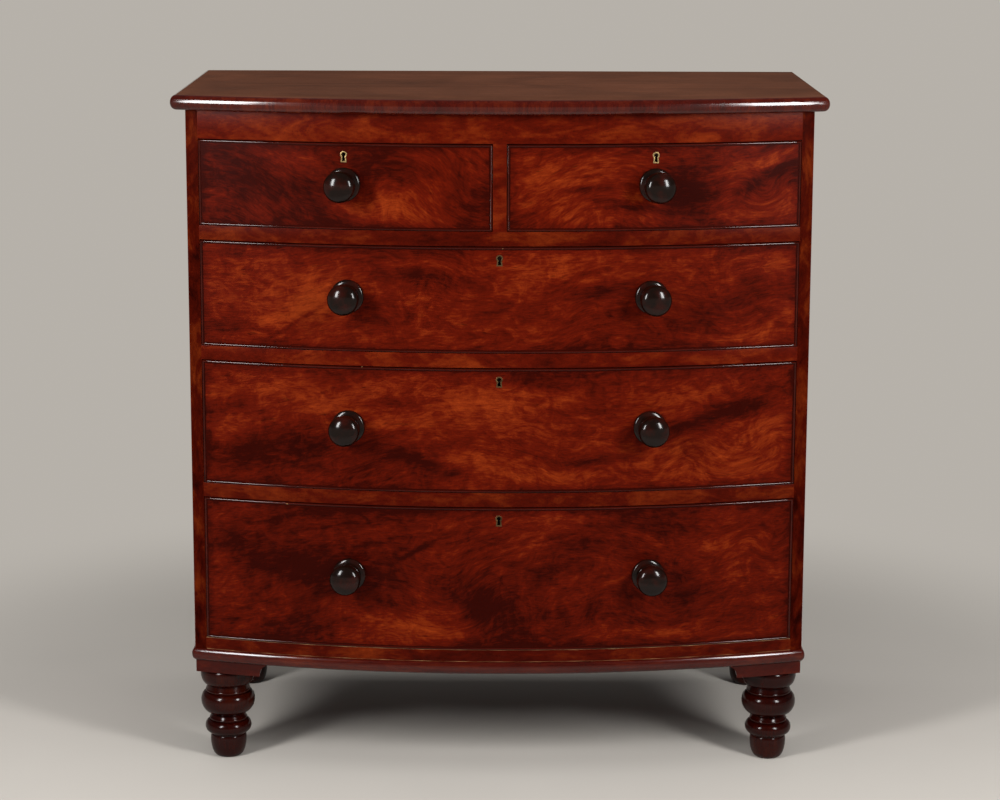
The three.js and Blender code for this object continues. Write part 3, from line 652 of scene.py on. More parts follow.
def ebonised_material():
    """Blackened and polished wood, worn brown where hands touch it."""
    finish = settings().finish
    shader = Shader("ebonised_polish", Coat_Weight=0.45, Coat_Roughness=0.15,
                    Specular_IOR_Level=0.0)
    worn = shader.noise((38, 38, 38), detail=4, roughness=0.6)
    brown = tuple(0.25 * c + 0.75 * e for c, e in zip(finish.red, finish.ebony))
    base = shader.ramp(worn, (0.45, finish.ebony), (0.78, brown))
    rings = shader.noise((500, 60, 60), detail=2)
    shader.bump(shader.sum(0.5, (rings, 0.5), (worn, 0.4)), 0.00012, 0.4)
    return shader.finish(base, shader.ramp(worn, (0.3, 0.2), (0.75, 0.36)))


def pine_material(name, grain, board=None):
    """Old dry pine: pale bands, darker late wood, dust in its grain, and joints between boards
    when a board's width is given."""
    finish = settings().finish
    shader = Shader(name, IOR=1.45)
    scale = GRAIN[grain]
    rings = shader.noise([c * 4.5 for c in scale], detail=4, roughness=0.55, warp=0.9)
    fibres = shader.noise([c * 30 for c in scale], detail=2)
    stain = shader.noise((3, 3, 3), detail=5, roughness=0.6)
    dark = [c * f for c, f in zip(finish.pine, (0.55, 0.45, 0.35))]
    value = shader.sum(0.5, (rings, 1.5), (fibres, 0.4), (stain, 0.6))
    base = shader.ramp(value, (0.15, dark), (0.6, finish.pine))
    if board:
        base = shader.mix("MULTIPLY", 1.0, base, shader.boards(board))
    shader.bump(shader.sum(0.5, (rings, 0.5), (fibres, 0.8)), 0.0004, 0.5)
    return shader.finish(base, shader.ramp(stain, (0.3, 0.6), (0.7, 0.8)))


def metal_material(name, tint, roughness):
    """Worn metal with tarnish in patches."""
    shader = Shader(name, Metallic=1.0)
    patches = shader.noise((120, 120, 120), detail=5, roughness=0.65)
    base = shader.ramp(patches, (0.35, toned(tint, 0.35)), (0.62, tint))
    scratches = shader.noise((700, 200, 900), detail=2)
    shader.bump(shader.sum(0.5, (patches, 0.5), (scratches, 0.4)), 0.0001, 0.5)
    rough = shader.ramp(patches, (0.3, roughness + 0.2), (0.65, roughness))
    return shader.finish(base, rough)


# Each polished wood: how strong its colours are, its grain, and what else sets it apart
WOODS = {
    "rail_polish": (0.85, "blotch", {"figure": 0.8, "shift": 0.3}),
    "low_rail_polish": (0.66, "blotch", {"figure": 0.8, "shift": 8.3}),
    "block_polish": (0.5, "x", {"figure": 0.4, "coat": 0.3, "level": 0.02, "shift": 3.4}),
    "stile_polish": (0.5, "upright blotch", {"figure": 1.2, "level": 0.01, "shift": 1.7}),
    "side_polish": (1, "z", {"shift": 2.9}),
    "core_polish": (0.5, "x", {"coat": 0.1, "roughness": 0.5}),
    "turned_polish": (0.2, "z", {"figure": 0.4, "coat": 0.34, "level": 0.02, "roughness": 0.22,
                                 "shift": 5.3, "open_grain": 0}),
    "moulding_polish": (0.5, "x", {"figure": 0.5, "coat": 0.65, "level": 0.02,
                                   "roughness": 0.22, "shift": 6.1, "open_grain": 0}),
    "nose_polish": (0.5, "z", {"figure": 0.6, "coat": 0.85, "level": 0.02, "roughness": 0.2,
                               "shift": 7.7, "open_grain": 0}),
}
TOP_DARK, TOP_PALE = 0.45, 1.7  # the top's dark and pale grain, as shares of its colour


def material(name):
    """The named finish, made the first time that it is asked for."""
    found = bpy.data.materials.get(name)
    if found:
        return found
    finish = settings().finish
    if name in WOODS:
        strength, grain, options = WOODS[name]
        tones = [toned(tone, strength) for tone in (finish.deep, finish.red, finish.orange)]
        return polished_wood(name, tones, grain, **options)
    top = (toned(finish.top, TOP_DARK), finish.top, toned(finish.top, TOP_PALE))
    makers = {
        "veneer_polish": lambda: veneer_material(name),
        "top_polish": lambda: polished_wood(name, top, "x", figure=0.4, level=0.012,
                                            roughness=0.6, shift=4.1),
        "bead_polish": bead_material,
        "ebonised_polish": ebonised_material,
        "pine_across": lambda: pine_material(name, "x"),
        "pine_upright": lambda: pine_material(name, "z", settings().case.back_board),
        "pine_deep": lambda: pine_material(name, "y"),
        "lining_brass": lambda: metal_material(name, finish.brass, 0.3),
        "dull_lining_brass": lambda: metal_material(name, finish.dull_brass, 0.4),
        "lock_iron": lambda: metal_material(name, finish.iron, 0.45),
    }
    return makers[name]()


# Figure of the veneers. Places are shares of a front's width and height from its lower left
# corner, sizes are metres along it, and turns and leans are degrees.

def bell(dx, dz, half_x, half_z, lean=0.0):
    """A smooth patch that is 1 at its middle, long along its own lean."""
    c, s = math.cos(math.radians(lean)), math.sin(math.radians(lean))
    along, over = dx * c + dz * s, dz * c - dx * s
    return np.exp(-(along / half_x) ** 2 - (over / half_z) ** 2)


# Each front: its grain's lean, then whorls (place, radius, turn), swells (place, half sizes,
# lift) and shades (place, half sizes, lean, lightness)
FIGURES = {
    "short_left": {
        "lean": -16,
        "tone": -0.03,
        "whorls": [((0.83, 0.45), 0.075, 70), ((0.62, 0.25), 0.05, -60), ((0.28, 0.35), 0.06, 40)],
        "swells": [((0.75, 0.9), (0.12, 0.06), 0.03), ((0.1, 0.5), (0.06, 0.08), 0.02)],
        "shades": [((0.12, 0.5), (0.09, 0.12), 0, -0.13), ((0.42, 0.2), (0.10, 0.035), -20, -0.22),
                   ((0.62, 0.25), (0.07, 0.022), 12, 0.28), ((0.8, 0.5), (0.07, 0.05), -20, 0.16),
                   ((0.3, 0.28), (0.03, 0.01), 10, 0.22), ((0.6, 0.8), (0.05, 0.03), 20, -0.14),
                   ((0.95, 0.3), (0.03, 0.08), 0, -0.12)],
    },
    "short_right": {
        "lean": 8,
        "whorls": [((0.2, 0.4), 0.09, -65), ((0.83, 0.45), 0.035, 150), ((0.93, 0.5), 0.03, -120)],
        "swells": [((0.3, 0.15), (0.12, 0.06), 0.045), ((0.75, 0.9), (0.10, 0.05), -0.02)],
        "shades": [((0.16, 0.4), (0.07, 0.06), 50, 0.20), ((0.38, 0.75), (0.07, 0.02), 20, 0.16),
                   ((0.27, 0.48), (0.05, 0.006), 2, -0.32), ((0.38, 0.3), (0.06, 0.008), -8, -0.25),
                   ((0.6, 0.42), (0.045, 0.05), 0, -0.3), ((0.8, 0.72), (0.08, 0.009), 14, 0.3),
                   ((0.93, 0.85), (0.05, 0.008), 28, 0.24), ((0.9, 0.62), (0.06, 0.01), 30, -0.25),
                   ((0.75, 0.35), (0.012, 0.025), 0, 0.26), ((0.9, 0.4), (0.035, 0.02), 15, 0.2)],
    },
    "long_upper": {
        "lean": 3,
        "tone": 0.03,
        "whorls": [((0.2, 0.3), 0.12, -25), ((0.42, 0.75), 0.05, 80), ((0.62, 0.35), 0.06, -70),
                   ((0.8, 0.55), 0.07, 50), ((0.93, 0.3), 0.05, -60)],
        "swells": [((0.3, 0.9), (0.15, 0.08), 0.02), ((0.7, 0.1), (0.15, 0.06), 0.02)],
        "shades": [((0.17, 0.36), (0.12, 0.018), 22, 0.5), ((0.14, 0.5), (0.12, 0.05), 0, 0.12),
                   ((0.165, 0.27), (0.07, 0.003), 33, -0.22), ((0.05, 0.2), (0.04, 0.03), 0, -0.16),
                   ((0.37, 0.72), (0.10, 0.018), -6, -0.26), ((0.46, 0.3), (0.06, 0.02), 10, -0.14),
                   ((0.6, 0.75), (0.08, 0.02), 4, 0.12), ((0.68, 0.6), (0.07, 0.014), 6, -0.28),
                   ((0.86, 0.35), (0.06, 0.02), 20, -0.2), ((0.93, 0.12), (0.08, 0.02), 8, 0.15),
                   ((0.27, 0.5), (0.05, 0.04), 0, -0.1)],
    },
    "long_middle": {
        "lean": 4,
        "tone": 0.05,
        "whorls": [((0.86, 0.3), 0.05, 140), ((0.95, 0.32), 0.035, -110), ((0.36, 0.1), 0.08, 45),
                   ((0.64, 0.15), 0.05, -80), ((0.1, 0.5), 0.12, -25)],
        "swells": [((0.42, 0.3), (0.16, 0.10), 0.05), ((0.75, 0.75), (0.18, 0.08), -0.02)],
        "shades": [((0.14, 0.75), (0.15, 0.03), -4, 0.16), ((0.13, 0.25), (0.14, 0.04), 0, -0.13),
                   ((0.4, 0.68), (0.12, 0.018), 14, 0.16), ((0.36, 0.25), (0.06, 0.012), -12, -0.3),
                   ((0.42, 0.13), (0.05, 0.012), 4, -0.2), ((0.62, 0.78), (0.16, 0.02), 2, 0.14),
                   ((0.87, 0.6), (0.11, 0.016), 16, -0.28), ((0.66, 0.24), (0.06, 0.01), 4, -0.28),
                   ((0.9, 0.3), (0.05, 0.03), 20, 0.2), ((0.6, 0.12), (0.05, 0.02), 0, 0.15),
                   ((0.5, 0.93), (0.3, 0.012), 0, -0.14)],
    },
    "long_lower": {
        "lean": 5,
        "tone": -0.08,
        "whorls": [((0.46, 0.38), 0.07, -110), ((0.95, 0.7), 0.035, 160), ((0.75, 0.35), 0.08, 70),
                   ((0.2, 0.5), 0.14, -18)],
        "swells": [((0.22, 0.55), (0.17, 0.09), 0.035), ((0.6, 0.7), (0.14, 0.09), 0.05)],
        "shades": [((0.2, 0.52), (0.15, 0.035), -8, -0.3), ((0.25, 0.82), (0.2, 0.018), 14, 0.18),
                   ((0.25, 0.26), (0.16, 0.016), -17, 0.2), ((0.4, 0.12), (0.1, 0.02), -4, 0.14),
                   ((0.36, 0.7), (0.03, 0.004), 30, -0.4), ((0.47, 0.3), (0.05, 0.035), -30, -0.28),
                   ((0.6, 0.6), (0.06, 0.03), 25, -0.14), ((0.72, 0.1), (0.11, 0.012), -2, 0.38),
                   ((0.8, 0.42), (0.08, 0.04), 0, -0.24), ((0.9, 0.8), (0.09, 0.012), 35, 0.2),
                   ((0.12, 0.1), (0.12, 0.02), 0, -0.12)],
    },
}

# How strongly the light shades, the dark shades and the whorls above are drawn, then the
# painted shade along a front's edge as (metres from the edge, lightness): a dark line that
# stands for the shaded gap beside the bead, and a fainter darkening inward that is partly
# dirt along the beads, partly painted shade
LIGHTENING = 0.62
DARKENING = 1.4
TURNING = 0.32
EDGE_PAINTED_SHADE = ((0.0, -0.9), (0.0018, -0.2), (0.014, 0.0))


def paint_figure(mesh, name, width, height, middle):
    """Writes the warped grain and the shades of one front into its veneer."""
    figure = FIGURES[name]
    spots = np.zeros(len(mesh.vertices) * 3)
    mesh.vertices.foreach_get("co", spots)
    spots = spots.reshape(-1, 3)
    x, z = spots[:, 0] - middle[0], spots[:, 2] - middle[1]

    def from_spot(place):
        return x - (place[0] - 0.5) * width, z - (place[1] - 0.5) * height

    shade = np.full(len(x), figure.get("tone", 0.0))
    for place, (half_x, half_z), lean, lightness in figure["shades"]:
        strength = lightness * (LIGHTENING if lightness > 0 else DARKENING)
        shade += strength * bell(*from_spot(place), half_x, half_z, lean)
    # Painted shade along the front's edge: a dark line for the shaded gap beside the bead, then a
    # faint darkening inward that is partly dirt along the beads, partly painted shade
    inside = np.minimum(width / 2 - np.abs(x), height / 2 - np.abs(z))
    shade += np.interp(inside, *zip(*EDGE_PAINTED_SHADE))
    u, v = x.copy(), z - x * math.tan(math.radians(figure["lean"]))
    for place, radius, turn in figure["whorls"]:
        dx, dz = from_spot(place)
        angle = TURNING * math.radians(turn) * bell(dx, dz, radius, radius)
        c, s = np.cos(angle), np.sin(angle)
        u += dx * (c - 1) - dz * s
        v += dx * s + dz * (c - 1)
    for place, (half_x, half_z), lift in figure["swells"]:
        v -= lift * bell(*from_spot(place), half_x, half_z)
    apart = DRAWERS.index(name) * FIGURE_APART
    warped = np.stack([u + apart, v + apart, np.full(len(u), apart)], axis=1)
    mesh.attributes.new("figure", "FLOAT_VECTOR", "POINT").data.foreach_set(
        "vector", warped.astype(np.float32).ravel())
    mesh.attributes.new("shade", "FLOAT", "POINT").data.foreach_set(
        "value", shade.astype(np.float32))


# Pieces

def keyhole_outline(grow):
    """The keyhole's outline as (x, z) round its middle: a round head over a widening skirt."""
    hole = settings().keyhole
    head, waist, skirt = hole.head + grow, hole.waist + grow, hole.skirt + grow
    head_centre = hole.height / 2 - hole.head
    turn = math.degrees(math.asin(waist / head))
    outline = arc((0, head_centre), head, turn - 90, 270 - turn, KEYHOLE_FACETS)
    bottom = -hole.height / 2 - grow
    return outline + [(-skirt, bottom), (skirt, bottom)]


def drawer_sizes(name):
    """Places of one drawer front in the case: its limits and its middle, the foot and top of its
    row, and the heights of its keyhole and its knobs."""
    low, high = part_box(f"{name}_cockbead")
    sizes = settings()
    row_top = high.z + sizes.drawer.top_gap
    row_foot = low.z - sizes.drawer.foot_gap
    return {
        "x0": low.x, "x1": high.x, "z0": low.z, "z1": high.z,
        "x": (low.x + high.x) / 2, "row": (row_foot, row_top),
        "key": row_top - sizes.keyhole.drop,
        "knob": (row_top + row_foot) / 2 + sizes.knob.rise,
    }


def make_veneer(bow, name):
    """The veneered face of a drawer, inside its beads and cut round its keyhole."""
    sizes = settings()
    drawer = drawer_sizes(name)
    inset = sizes.drawer.bead_width + sizes.drawer.bead_gap
    x0, x1 = drawer["x0"] + inset, drawer["x1"] - inset
    z0, z1 = drawer["z0"] + inset, drawer["z1"] - inset
    # A row of points this far inside each edge holds the painted shade line beside the bead
    line = EDGE_PAINTED_SHADE[1][0]
    xs, zs = ([low, *bow.places(low + line, high - line, sizes.drawer.figure_step), high]
              for low, high in ((x0, x1), (z0, z1)))
    mesh = bpy.data.meshes.new(f"{name}_veneer")
    outs = (sizes.case.proud, sizes.case.proud - sizes.case.veneer)
    points = [bow.at(x, z, out) for out in outs for x in xs for z in zs]
    wide, tall = len(xs), len(zs)
    faces = []
    for layer in range(2):
        start = layer * wide * tall
        for i in range(wide - 1):
            for k in range(tall - 1):
                a = start + i * tall + k
                faces.append((a, a + tall, a + tall + 1, a + 1))
    rim = [*range(tall), *(i * tall + tall - 1 for i in range(1, wide)),
           *((wide - 1) * tall + k for k in range(tall - 2, -1, -1)),
           *(i * tall for i in range(wide - 2, 0, -1))]
    for a, b in zip(rim, rim[1:] + rim[:1]):
        faces.append((a, b, b + wide * tall, a + wide * tall))
    mesh.from_pydata([tuple(p) for p in points], [], faces)
    close_up(mesh)
    sheet = new_object(f"{name}_veneer_sheet", mesh)
    plug = [[bow.at(drawer["x"], drawer["key"], out) + bow.across(drawer["x"]) * a + UP * b
             for a, b in keyhole_outline(sizes.keyhole.wall)]
            for out in (-2 * sizes.case.veneer, sizes.case.veneer)]
    cutter = loft(f"{name}_keyhole_plug", plug, material("core_polish"))
    cut = sheet.modifiers.new("keyhole", "BOOLEAN")
    cut.operation, cut.solver, cut.object = "DIFFERENCE", "EXACT", cutter
    mesh = evaluated_mesh(sheet, f"{name}_veneer")
    sheet.modifiers.remove(cut)
    discard(sheet, cutter)
    mesh.materials.clear()
    mesh.materials.append(material("veneer_polish"))
    close_up(mesh)
    paint_figure(mesh, name, x1 - x0, z1 - z0, (drawer["x"], (z0 + z1) / 2))
    return set_on(new_object(f"{name}_veneer", mesh), f"{name}_drawer", "mahogany")


def make_bead(bow, name):
    """The cockbead of one drawer: a loop round its edges, mitred at the corners."""
    sizes = settings()
    drawer = drawer_sizes(name)
    bead = sizes.drawer
    nose = bead.bead_width / 2
    section = [(0, -bead.bead_depth),
               *((nose + a, b) for a, b in arc((0, bead.bead_proud - nose), nose, 180, 0,
                                               BEAD_FACETS)),
               (bead.bead_width, -bead.bead_depth), (0, -bead.bead_depth)]
    xs = bow.places(drawer["x0"], drawer["x1"])
    path = []
    for z, inward in ((drawer["z0"], UP), (drawer["z1"], -UP)):
        row = []
        for x in xs:
            corner = {xs[0]: bow.across(x), xs[-1]: -bow.across(x)}.get(x, NOWHERE)
            row.append((bow.at(x, z), inward + corner, bow.outward(x)))
        path += row if inward == UP else row[::-1]
    path.append(path[0])
    made = run_section(f"{name}_bead", path, section, material("bead_polish"))
    return set_on(made, f"{name}_drawer", "bead_mahogany", f"{name}_cockbead")


def make_lining(bow, name):
    """The brass lining of one keyhole, with a rubbed front edge."""
    hole = settings().keyhole
    drawer = drawer_sizes(name)
    inner, outer = keyhole_outline(0), keyhole_outline(hole.wall)
    middle = bow.at(drawer["x"], drawer["key"])
    across = bow.across(drawer["x"])
    path = []
    for (a, b), (c, d) in zip(inner, outer):
        wall = (across * (c - a) + UP * (d - b)) / hole.wall
        path.append((middle + across * a + UP * b, wall, bow.outward(drawer["x"])))
    path.append(path[0])
    edge = hole.proud
    section = [(0, -hole.depth), (0, 0), *arc((edge, 0), edge, 180, 90, LINING_FACETS),
               *arc((hole.wall - edge, 0), edge, 90, 0, LINING_FACETS), (hole.wall, 0),
               (hole.wall, -hole.depth), (0, -hole.depth)]
    brass = "lining_brass" if name in SHORT_DRAWERS else "dull_lining_brass"
    made = run_section(f"{name}_lining", path, section, material(brass))
    return set_on(made, f"{name}_drawer", "brass", f"{name}_escutcheon")


def turn_piece(name, profile, foot, axis, first, sides, finish):
    """A turned piece: its (radius, height) profile stands on foot, along axis."""
    second = axis.cross(first)
    path = []
    for i in range(sides + 1):
        angle = 2 * math.pi * (i % sides) / sides
        path.append((foot, first * math.cos(angle) + second * math.sin(angle), axis))
    return run_section(name, path, profile, finish)


def knob_profile():
    """Profile of a knob from the drawer's face: collar, neck, ring and dome."""
    knob = settings().knob
    points = [(0, knob.seat), (knob.collar - knob.seat, knob.seat)]
    points += swelling((knob.collar - knob.seat, knob.seat), (knob.collar, knob.reach * COLLAR_AT),
                       (knob.neck, knob.reach * NECK_FROM), COLLAR_FACETS)[1:]
    points.append((knob.neck, knob.reach * NECK_TO))
    ring = [(radius, knob.reach * place)
            for radius, place in zip((knob.groove, knob.bead, knob.groove), RING_AT)]
    points += swelling(*ring, RING_FACETS)
    points += swelling(ring[2], (knob.radius, knob.reach * DOME_AT), (0, knob.reach),
                       DOME_FACETS)[1:]
    return points


def make_knob(bow, name, drawer_name, x):
    """One knob, square to the bow at x, in place of its node."""
    drawer = drawer_sizes(drawer_name)
    knob = settings().knob
    made = turn_piece(f"{name}_turning", knob_profile(), bow.at(x, drawer["knob"]),
                      bow.outward(x), UP, knob.sides, material("ebonised_polish"))
    return set_on(made, f"{drawer_name}_drawer", "ebonised", name)


def bead_on(radius, low, high):
    """A small turned bead between two quirks, on the fillet above a bulb."""
    quirk = radius - settings().foot.quirk
    swell = settings().foot.small_bead
    middle = (low + high) / 2
    return [*swelling((quirk, low), (radius + swell, middle), (quirk, high), SMALL_BEAD_FACETS),
            (radius, high)]


def foot_profile():
    """Profile of a turned foot from the floor to its block: toe, two bulbs and a ring."""
    foot = settings().foot

    def at(radii, heights):
        return [(r, foot.turning * h) for r, h in zip(radii, heights)]

    points = [(0, 0)]
    points += swelling(*at((foot.sole, foot.toe, foot.ankle), TOE_AT), LOWER_FACETS)
    points += swelling(*at((foot.ankle, foot.second, foot.low_fillet), SECOND_AT), LOWER_FACETS)
    points += bead_on(foot.low_fillet, *(foot.turning * place for place in LOW_BEAD_AT))
    points += swelling(*at((foot.waist, foot.bulb, foot.fillet), BULB_AT), BULB_FACETS)
    points += bead_on(foot.fillet, *(foot.turning * place for place in HIGH_BEAD_AT))
    points += swelling(*at((foot.neck, foot.ring, foot.top), TOP_RING_AT), TOP_RING_FACETS)
    points.append((0, foot.turning))
    return points


def make_foot(bow, hand, end):
    """One foot: the turning, and the block over it with its hollow at the front."""
    foot = settings().foot
    side = HANDS[hand]
    base_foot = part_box("base_board")[0].z
    outer = side * (bow.half - foot.block_inset)
    x = side * (bow.half - foot.inset)
    front = end == "front"
    back = bow.back - foot.block_inset
    y = bow.y(x) + foot.inset if front else bow.back - foot.inset
    if front:
        back = y + foot.block_width / 2
    turning = turn_piece(f"foot_{end}_{hand}_turning", foot_profile(), Vector((x, y, 0)), UP,
                         Vector((1, 0, 0)), foot.sides, material("turned_polish"))
    set_on(turning, CARCASE, "mahogany", f"foot_{end}_{hand}")
    inner = outer - side * foot.block_width
    columns = [(xi, foot.turning) for xi in np.linspace(inner, outer, BLOCK_COLUMNS)]
    if front:
        start = inner - side * foot.cove_width
        hollow = [(side * foot.cove_width * a, foot.cove_height * b)
                  for a, b in arc((0, 0), 1, 90, 0, COVE_FACETS)]
        columns = [(start + dx, foot.turning + dz) for dx, dz in hollow[:-1]] + columns
    rows = []
    for xi, low in columns:
        near = bow.y(xi, -foot.block_inset) if front else back - foot.block_width
        top = base_foot if low < base_foot - HAIR else low + HAIR
        rows.append([(xi, near, low), (xi, near, top), (xi, back, top), (xi, back, low)])
    block = loft(f"foot_{end}_{hand}_block", rows, material("block_polish"))
    set_on(block, CARCASE, "mahogany", f"foot_{end}_{hand}")


def case_outline(bow, out, z):
    """The case's plan, grown at the front and the sides, with rounded front corners."""
    edge = bow.half + out
    radius = settings().case.corner
    lean = bow.angle(edge)
    bend = edge - radius * (1 - math.sin(lean))
    middle = (edge - radius, bow.y(bend, out) + radius * math.cos(lean))
    right = arc(middle, radius, math.degrees(lean) - 90, 0, CORNER_FACETS)
    left = [(-x, y) for x, y in reversed(right)]
    front = [(x, bow.y(x, out)) for x in bow.places(-bend, bend)]
    plan = [(-edge, bow.back), *left[:-1], *front, *right[1:], (edge, bow.back)]
    return [(x, y, z) for x, y in plan]


def make_nosed_board(bow, name, node_name, nose, slot, finish, edge_finish):
    """A board over the case's plan with a rounded edge along its front and sides."""
    low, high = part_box(node_name)
    proud = high.x - bow.half
    half = (high.z - low.z) / 2
    rounds = settings().case.nose_steps
    rows = []
    for i in range(rounds + 1):
        angle = math.pi * (i / rounds - 0.5)
        out = proud - nose * (1 - math.cos(angle))
        rows.append(case_outline(bow, out, low.z + half * (1 + math.sin(angle))))
    board = loft(name, rows, finish)
    board.data.materials.append(edge_finish)
    for face in board.data.polygons:
        face.material_index = int(abs(face.normal.z) < FLAT)
    return set_on(board, CARCASE, slot, node_name)


def facing_section(half, proud, depth, arris):
    """A strip's section: a flat face between two rubbed edges, over a square back."""
    flat = half - arris
    return [(-half, -depth), *arc((-flat, proud - arris), arris, 180, 90, ARRIS_FACETS),
            *arc((flat, proud - arris), arris, 90, 0, ARRIS_FACETS), (half, -depth),
            (-half, -depth)]


def make_facing(bow, name, half, spots, across, finish):
    """A veneered strip through (x, z) spots on the bow, closed at both ends."""
    case = settings().case
    section = facing_section(half, case.proud, case.veneer, case.arris)
    path = [(bow.at(x, z), across, bow.outward(x)) for x, z in spots]
    start, end = ((bow.at(x, z, -case.arris), NOWHERE, NOWHERE) for x, z in (spots[0], spots[-1]))
    made = run_section(f"{name}_facing", [start, *path, end], section, material(finish))
    return set_on(made, CARCASE, "mahogany")


def make_rail_facing(bow, name, x0, x1, z0, z1, finish):
    """The veneered edge of a rail, along the bow between two uprights."""
    spots = [(x, (z0 + z1) / 2) for x in bow.places(x0, x1)]
    return make_facing(bow, name, (z1 - z0) / 2, spots, UP, finish)


def make_upright_facing(bow, name, x0, x1, z0, z1, finish):
    """The veneered edge of a side or of the muntin, from one height to another."""
    x = (x0 + x1) / 2
    half = (x1 - x0) / 2 / math.cos(bow.angle(x))
    return make_facing(bow, name, half, [(x, z0), (x, z1)], bow.across(x), finish)


# Stage

def seen_directly(tree):
    """1 for rays that show the backdrop: from the camera, or by way of gloss or glass."""
    rays = node(tree, "ShaderNodeLightPath").outputs
    seen = maths(tree, "MAXIMUM", rays["Is Camera Ray"], rays["Is Glossy Ray"])
    return maths(tree, "MAXIMUM", seen, rays["Is Transmission Ray"])


def make_floor(studio):
    """A plain pale floor that fades into the backdrop away from the chest."""
    shader = Shader("floor_paper", Roughness=0.9)
    tree = shader.tree
    grain = shader.noise((3, 3, 3), detail=2)
    tint = Vector(studio.backdrop)
    base = shader.ramp(grain, (0.3, tint * FLOOR_SHADE), (0.7, tint))
    shader.finish(base)
    flat = node(tree, "ShaderNodeEmission", {"Color": (*studio.backdrop, 1), "Strength": 1.0})
    reach = node(tree, "ShaderNodeVectorMath", {0: shader.where}, operation="LENGTH")
    fade = node(tree, "ShaderNodeMapRange", {
        "Value": reach.outputs["Value"], "From Min": studio.near, "From Max": studio.far},
        interpolation_type="SMOOTHERSTEP")
    factor = maths(tree, "MULTIPLY", fade.outputs[0], seen_directly(tree))
    both = node(tree, "ShaderNodeMixShader", {0: factor, 1: shader.surface.outputs[0],
                                              2: flat.outputs[0]})
    output = next(n for n in tree.nodes if n.type == "OUTPUT_MATERIAL")
    tree.links.new(both.outputs[0], output.inputs["Surface"])
    mesh = bpy.data.meshes.new("floor")
    rim = arc((0, 0), FLOOR_RADIUS, 0, 360, FLOOR_SIDES)[:-1]
    mesh.from_pydata([(x, y, 0) for x, y in rim], [], [tuple(range(len(rim)))])
    mesh.materials.append(shader.material)
    new_object("floor", mesh)


def make_world(studio):
    """Pale walls all round, under a dim ceiling."""
    world = bpy.data.worlds.new("studio")
    bpy.context.scene.world = world
    world.use_nodes = True
    tree = world.node_tree
    tree.nodes.clear()
    ray = node(tree, "ShaderNodeSeparateXYZ",
               {0: node(tree, "ShaderNodeTexCoord").outputs["Generated"]})
    climb = node(tree, "ShaderNodeMapRange", {
        "Value": ray.outputs["Z"], "From Min": studio.haze_low, "From Max": studio.haze_high},
        interpolation_type="SMOOTHSTEP")
    shade = node(tree, "ShaderNodeMix", {
        0: climb.outputs[0], 6: (*studio.backdrop, 1), 7: (*studio.ceiling, 1)}, data_type="RGBA")
    walls = node(tree, "ShaderNodeBackground", {"Color": shade.outputs[2], "Strength": 1.0})
    node(tree, "ShaderNodeOutputWorld", {"Surface": walls.outputs[0]})


def make_lamps(studio):
    """A softbox on each side in front of the chest, and a large soft panel overhead that fills
    the shadows without a highlight of its own."""
    for hand, side in HANDS.items():
        add_lamp(f"softbox_{hand}",
                 (side * studio.softbox_side, -studio.softbox_front, studio.softbox_height),
                 (side * studio.softbox_side / AIM_ASIDE, 0, studio.softbox_aim),
                 (studio.softbox_width, studio.softbox_tall), studio.softbox_power)
    fill = add_lamp("panel", (0, -studio.panel_front, studio.panel_height),
                    (0, -studio.panel_front, 0), (studio.panel_width, studio.panel_width),
                    studio.panel_power)
    fill.visible_glossy = False


def add_lamp(name, place, aim, size, power):
    """One rectangular lamp at a place, turned to face its aim."""
    data = bpy.data.lights.new(name, "AREA")
    data.shape, data.energy = "RECTANGLE", power
    data.size, data.size_y = size
    lamp = new_object(name, data)
    lamp.location = place
    lamp.rotation_euler = (Vector(aim) - lamp.location).to_track_quat("-Z", "Y").to_euler()
    return lamp


def make_camera(studio):
    """The camera at the photograph's place and angle."""
    data = bpy.data.cameras.new("camera")
    data.lens, data.shift_y = studio.focal, studio.shift
    camera = new_object("camera", data)
    camera.location = (studio.aside, Bow().corner - studio.distance, studio.height)
    camera.rotation_euler = (math.pi / 2 - studio.pitch, -studio.roll, -studio.yaw)
    bpy.context.scene.camera = camera


# Operators

class CHEST_OT_case(bpy.types.Operator):
    """Make the top, the base moulding and the veneered edges of the case"""
    bl_idname = "chest.case"
    bl_label = "Case"

    def execute(self, context):
        bow = Bow()
        case = settings().case
        make_nosed_board(bow, "top_board", "top", case.top_nose, "top_mahogany",
                         material("top_polish"), material("nose_polish"))
        make_nosed_board(bow, "base_moulding", "base_board", case.base_nose, "mahogany",
                         material("core_polish"), material("moulding_polish"))
        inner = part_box("long_lower_cockbead")[1].x + settings().drawer.side_gap
        rows = [drawer_sizes(name)["row"] for name in ("short_left", *LONG_DRAWERS)]
        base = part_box("base_board")[1].z
        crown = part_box("top")[0].z
        edges = [(rows[0][1], crown), (rows[1][1], rows[0][0]), (rows[2][1], rows[1][0]),
                 (rows[3][1], rows[2][0]), (base, rows[3][0])]
        names = {"frieze": "rail_polish", "rail_upper": "low_rail_polish",
                 "rail_middle": "rail_polish", "rail_lower": "low_rail_polish",
                 "rail_bottom": "low_rail_polish"}
        for (name, finish), (low, high) in zip(names.items(), edges):
            make_rail_facing(bow, name, -inner, inner, low, high, finish)
        for hand, side in HANDS.items():
            x0, x1 = sorted((side * inner, side * bow.half))
            make_upright_facing(bow, f"side_{hand}", x0, x1, base, crown, "stile_polish")
        low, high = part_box("muntin")
        make_upright_facing(bow, "muntin", low.x, high.x, *rows[0], "rail_polish")
        return {"FINISHED"}


class CHEST_OT_drawers(bpy.types.Operator):
    """Make the veneers, cockbeads and keyhole linings of the drawers"""
    bl_idname = "chest.drawers"
    bl_label = "Drawer fronts"

    def execute(self, context):
        bow = Bow()
        for name in DRAWERS:
            make_veneer(bow, name)
            make_bead(bow, name)
            make_lining(bow, name)
        return {"FINISHED"}


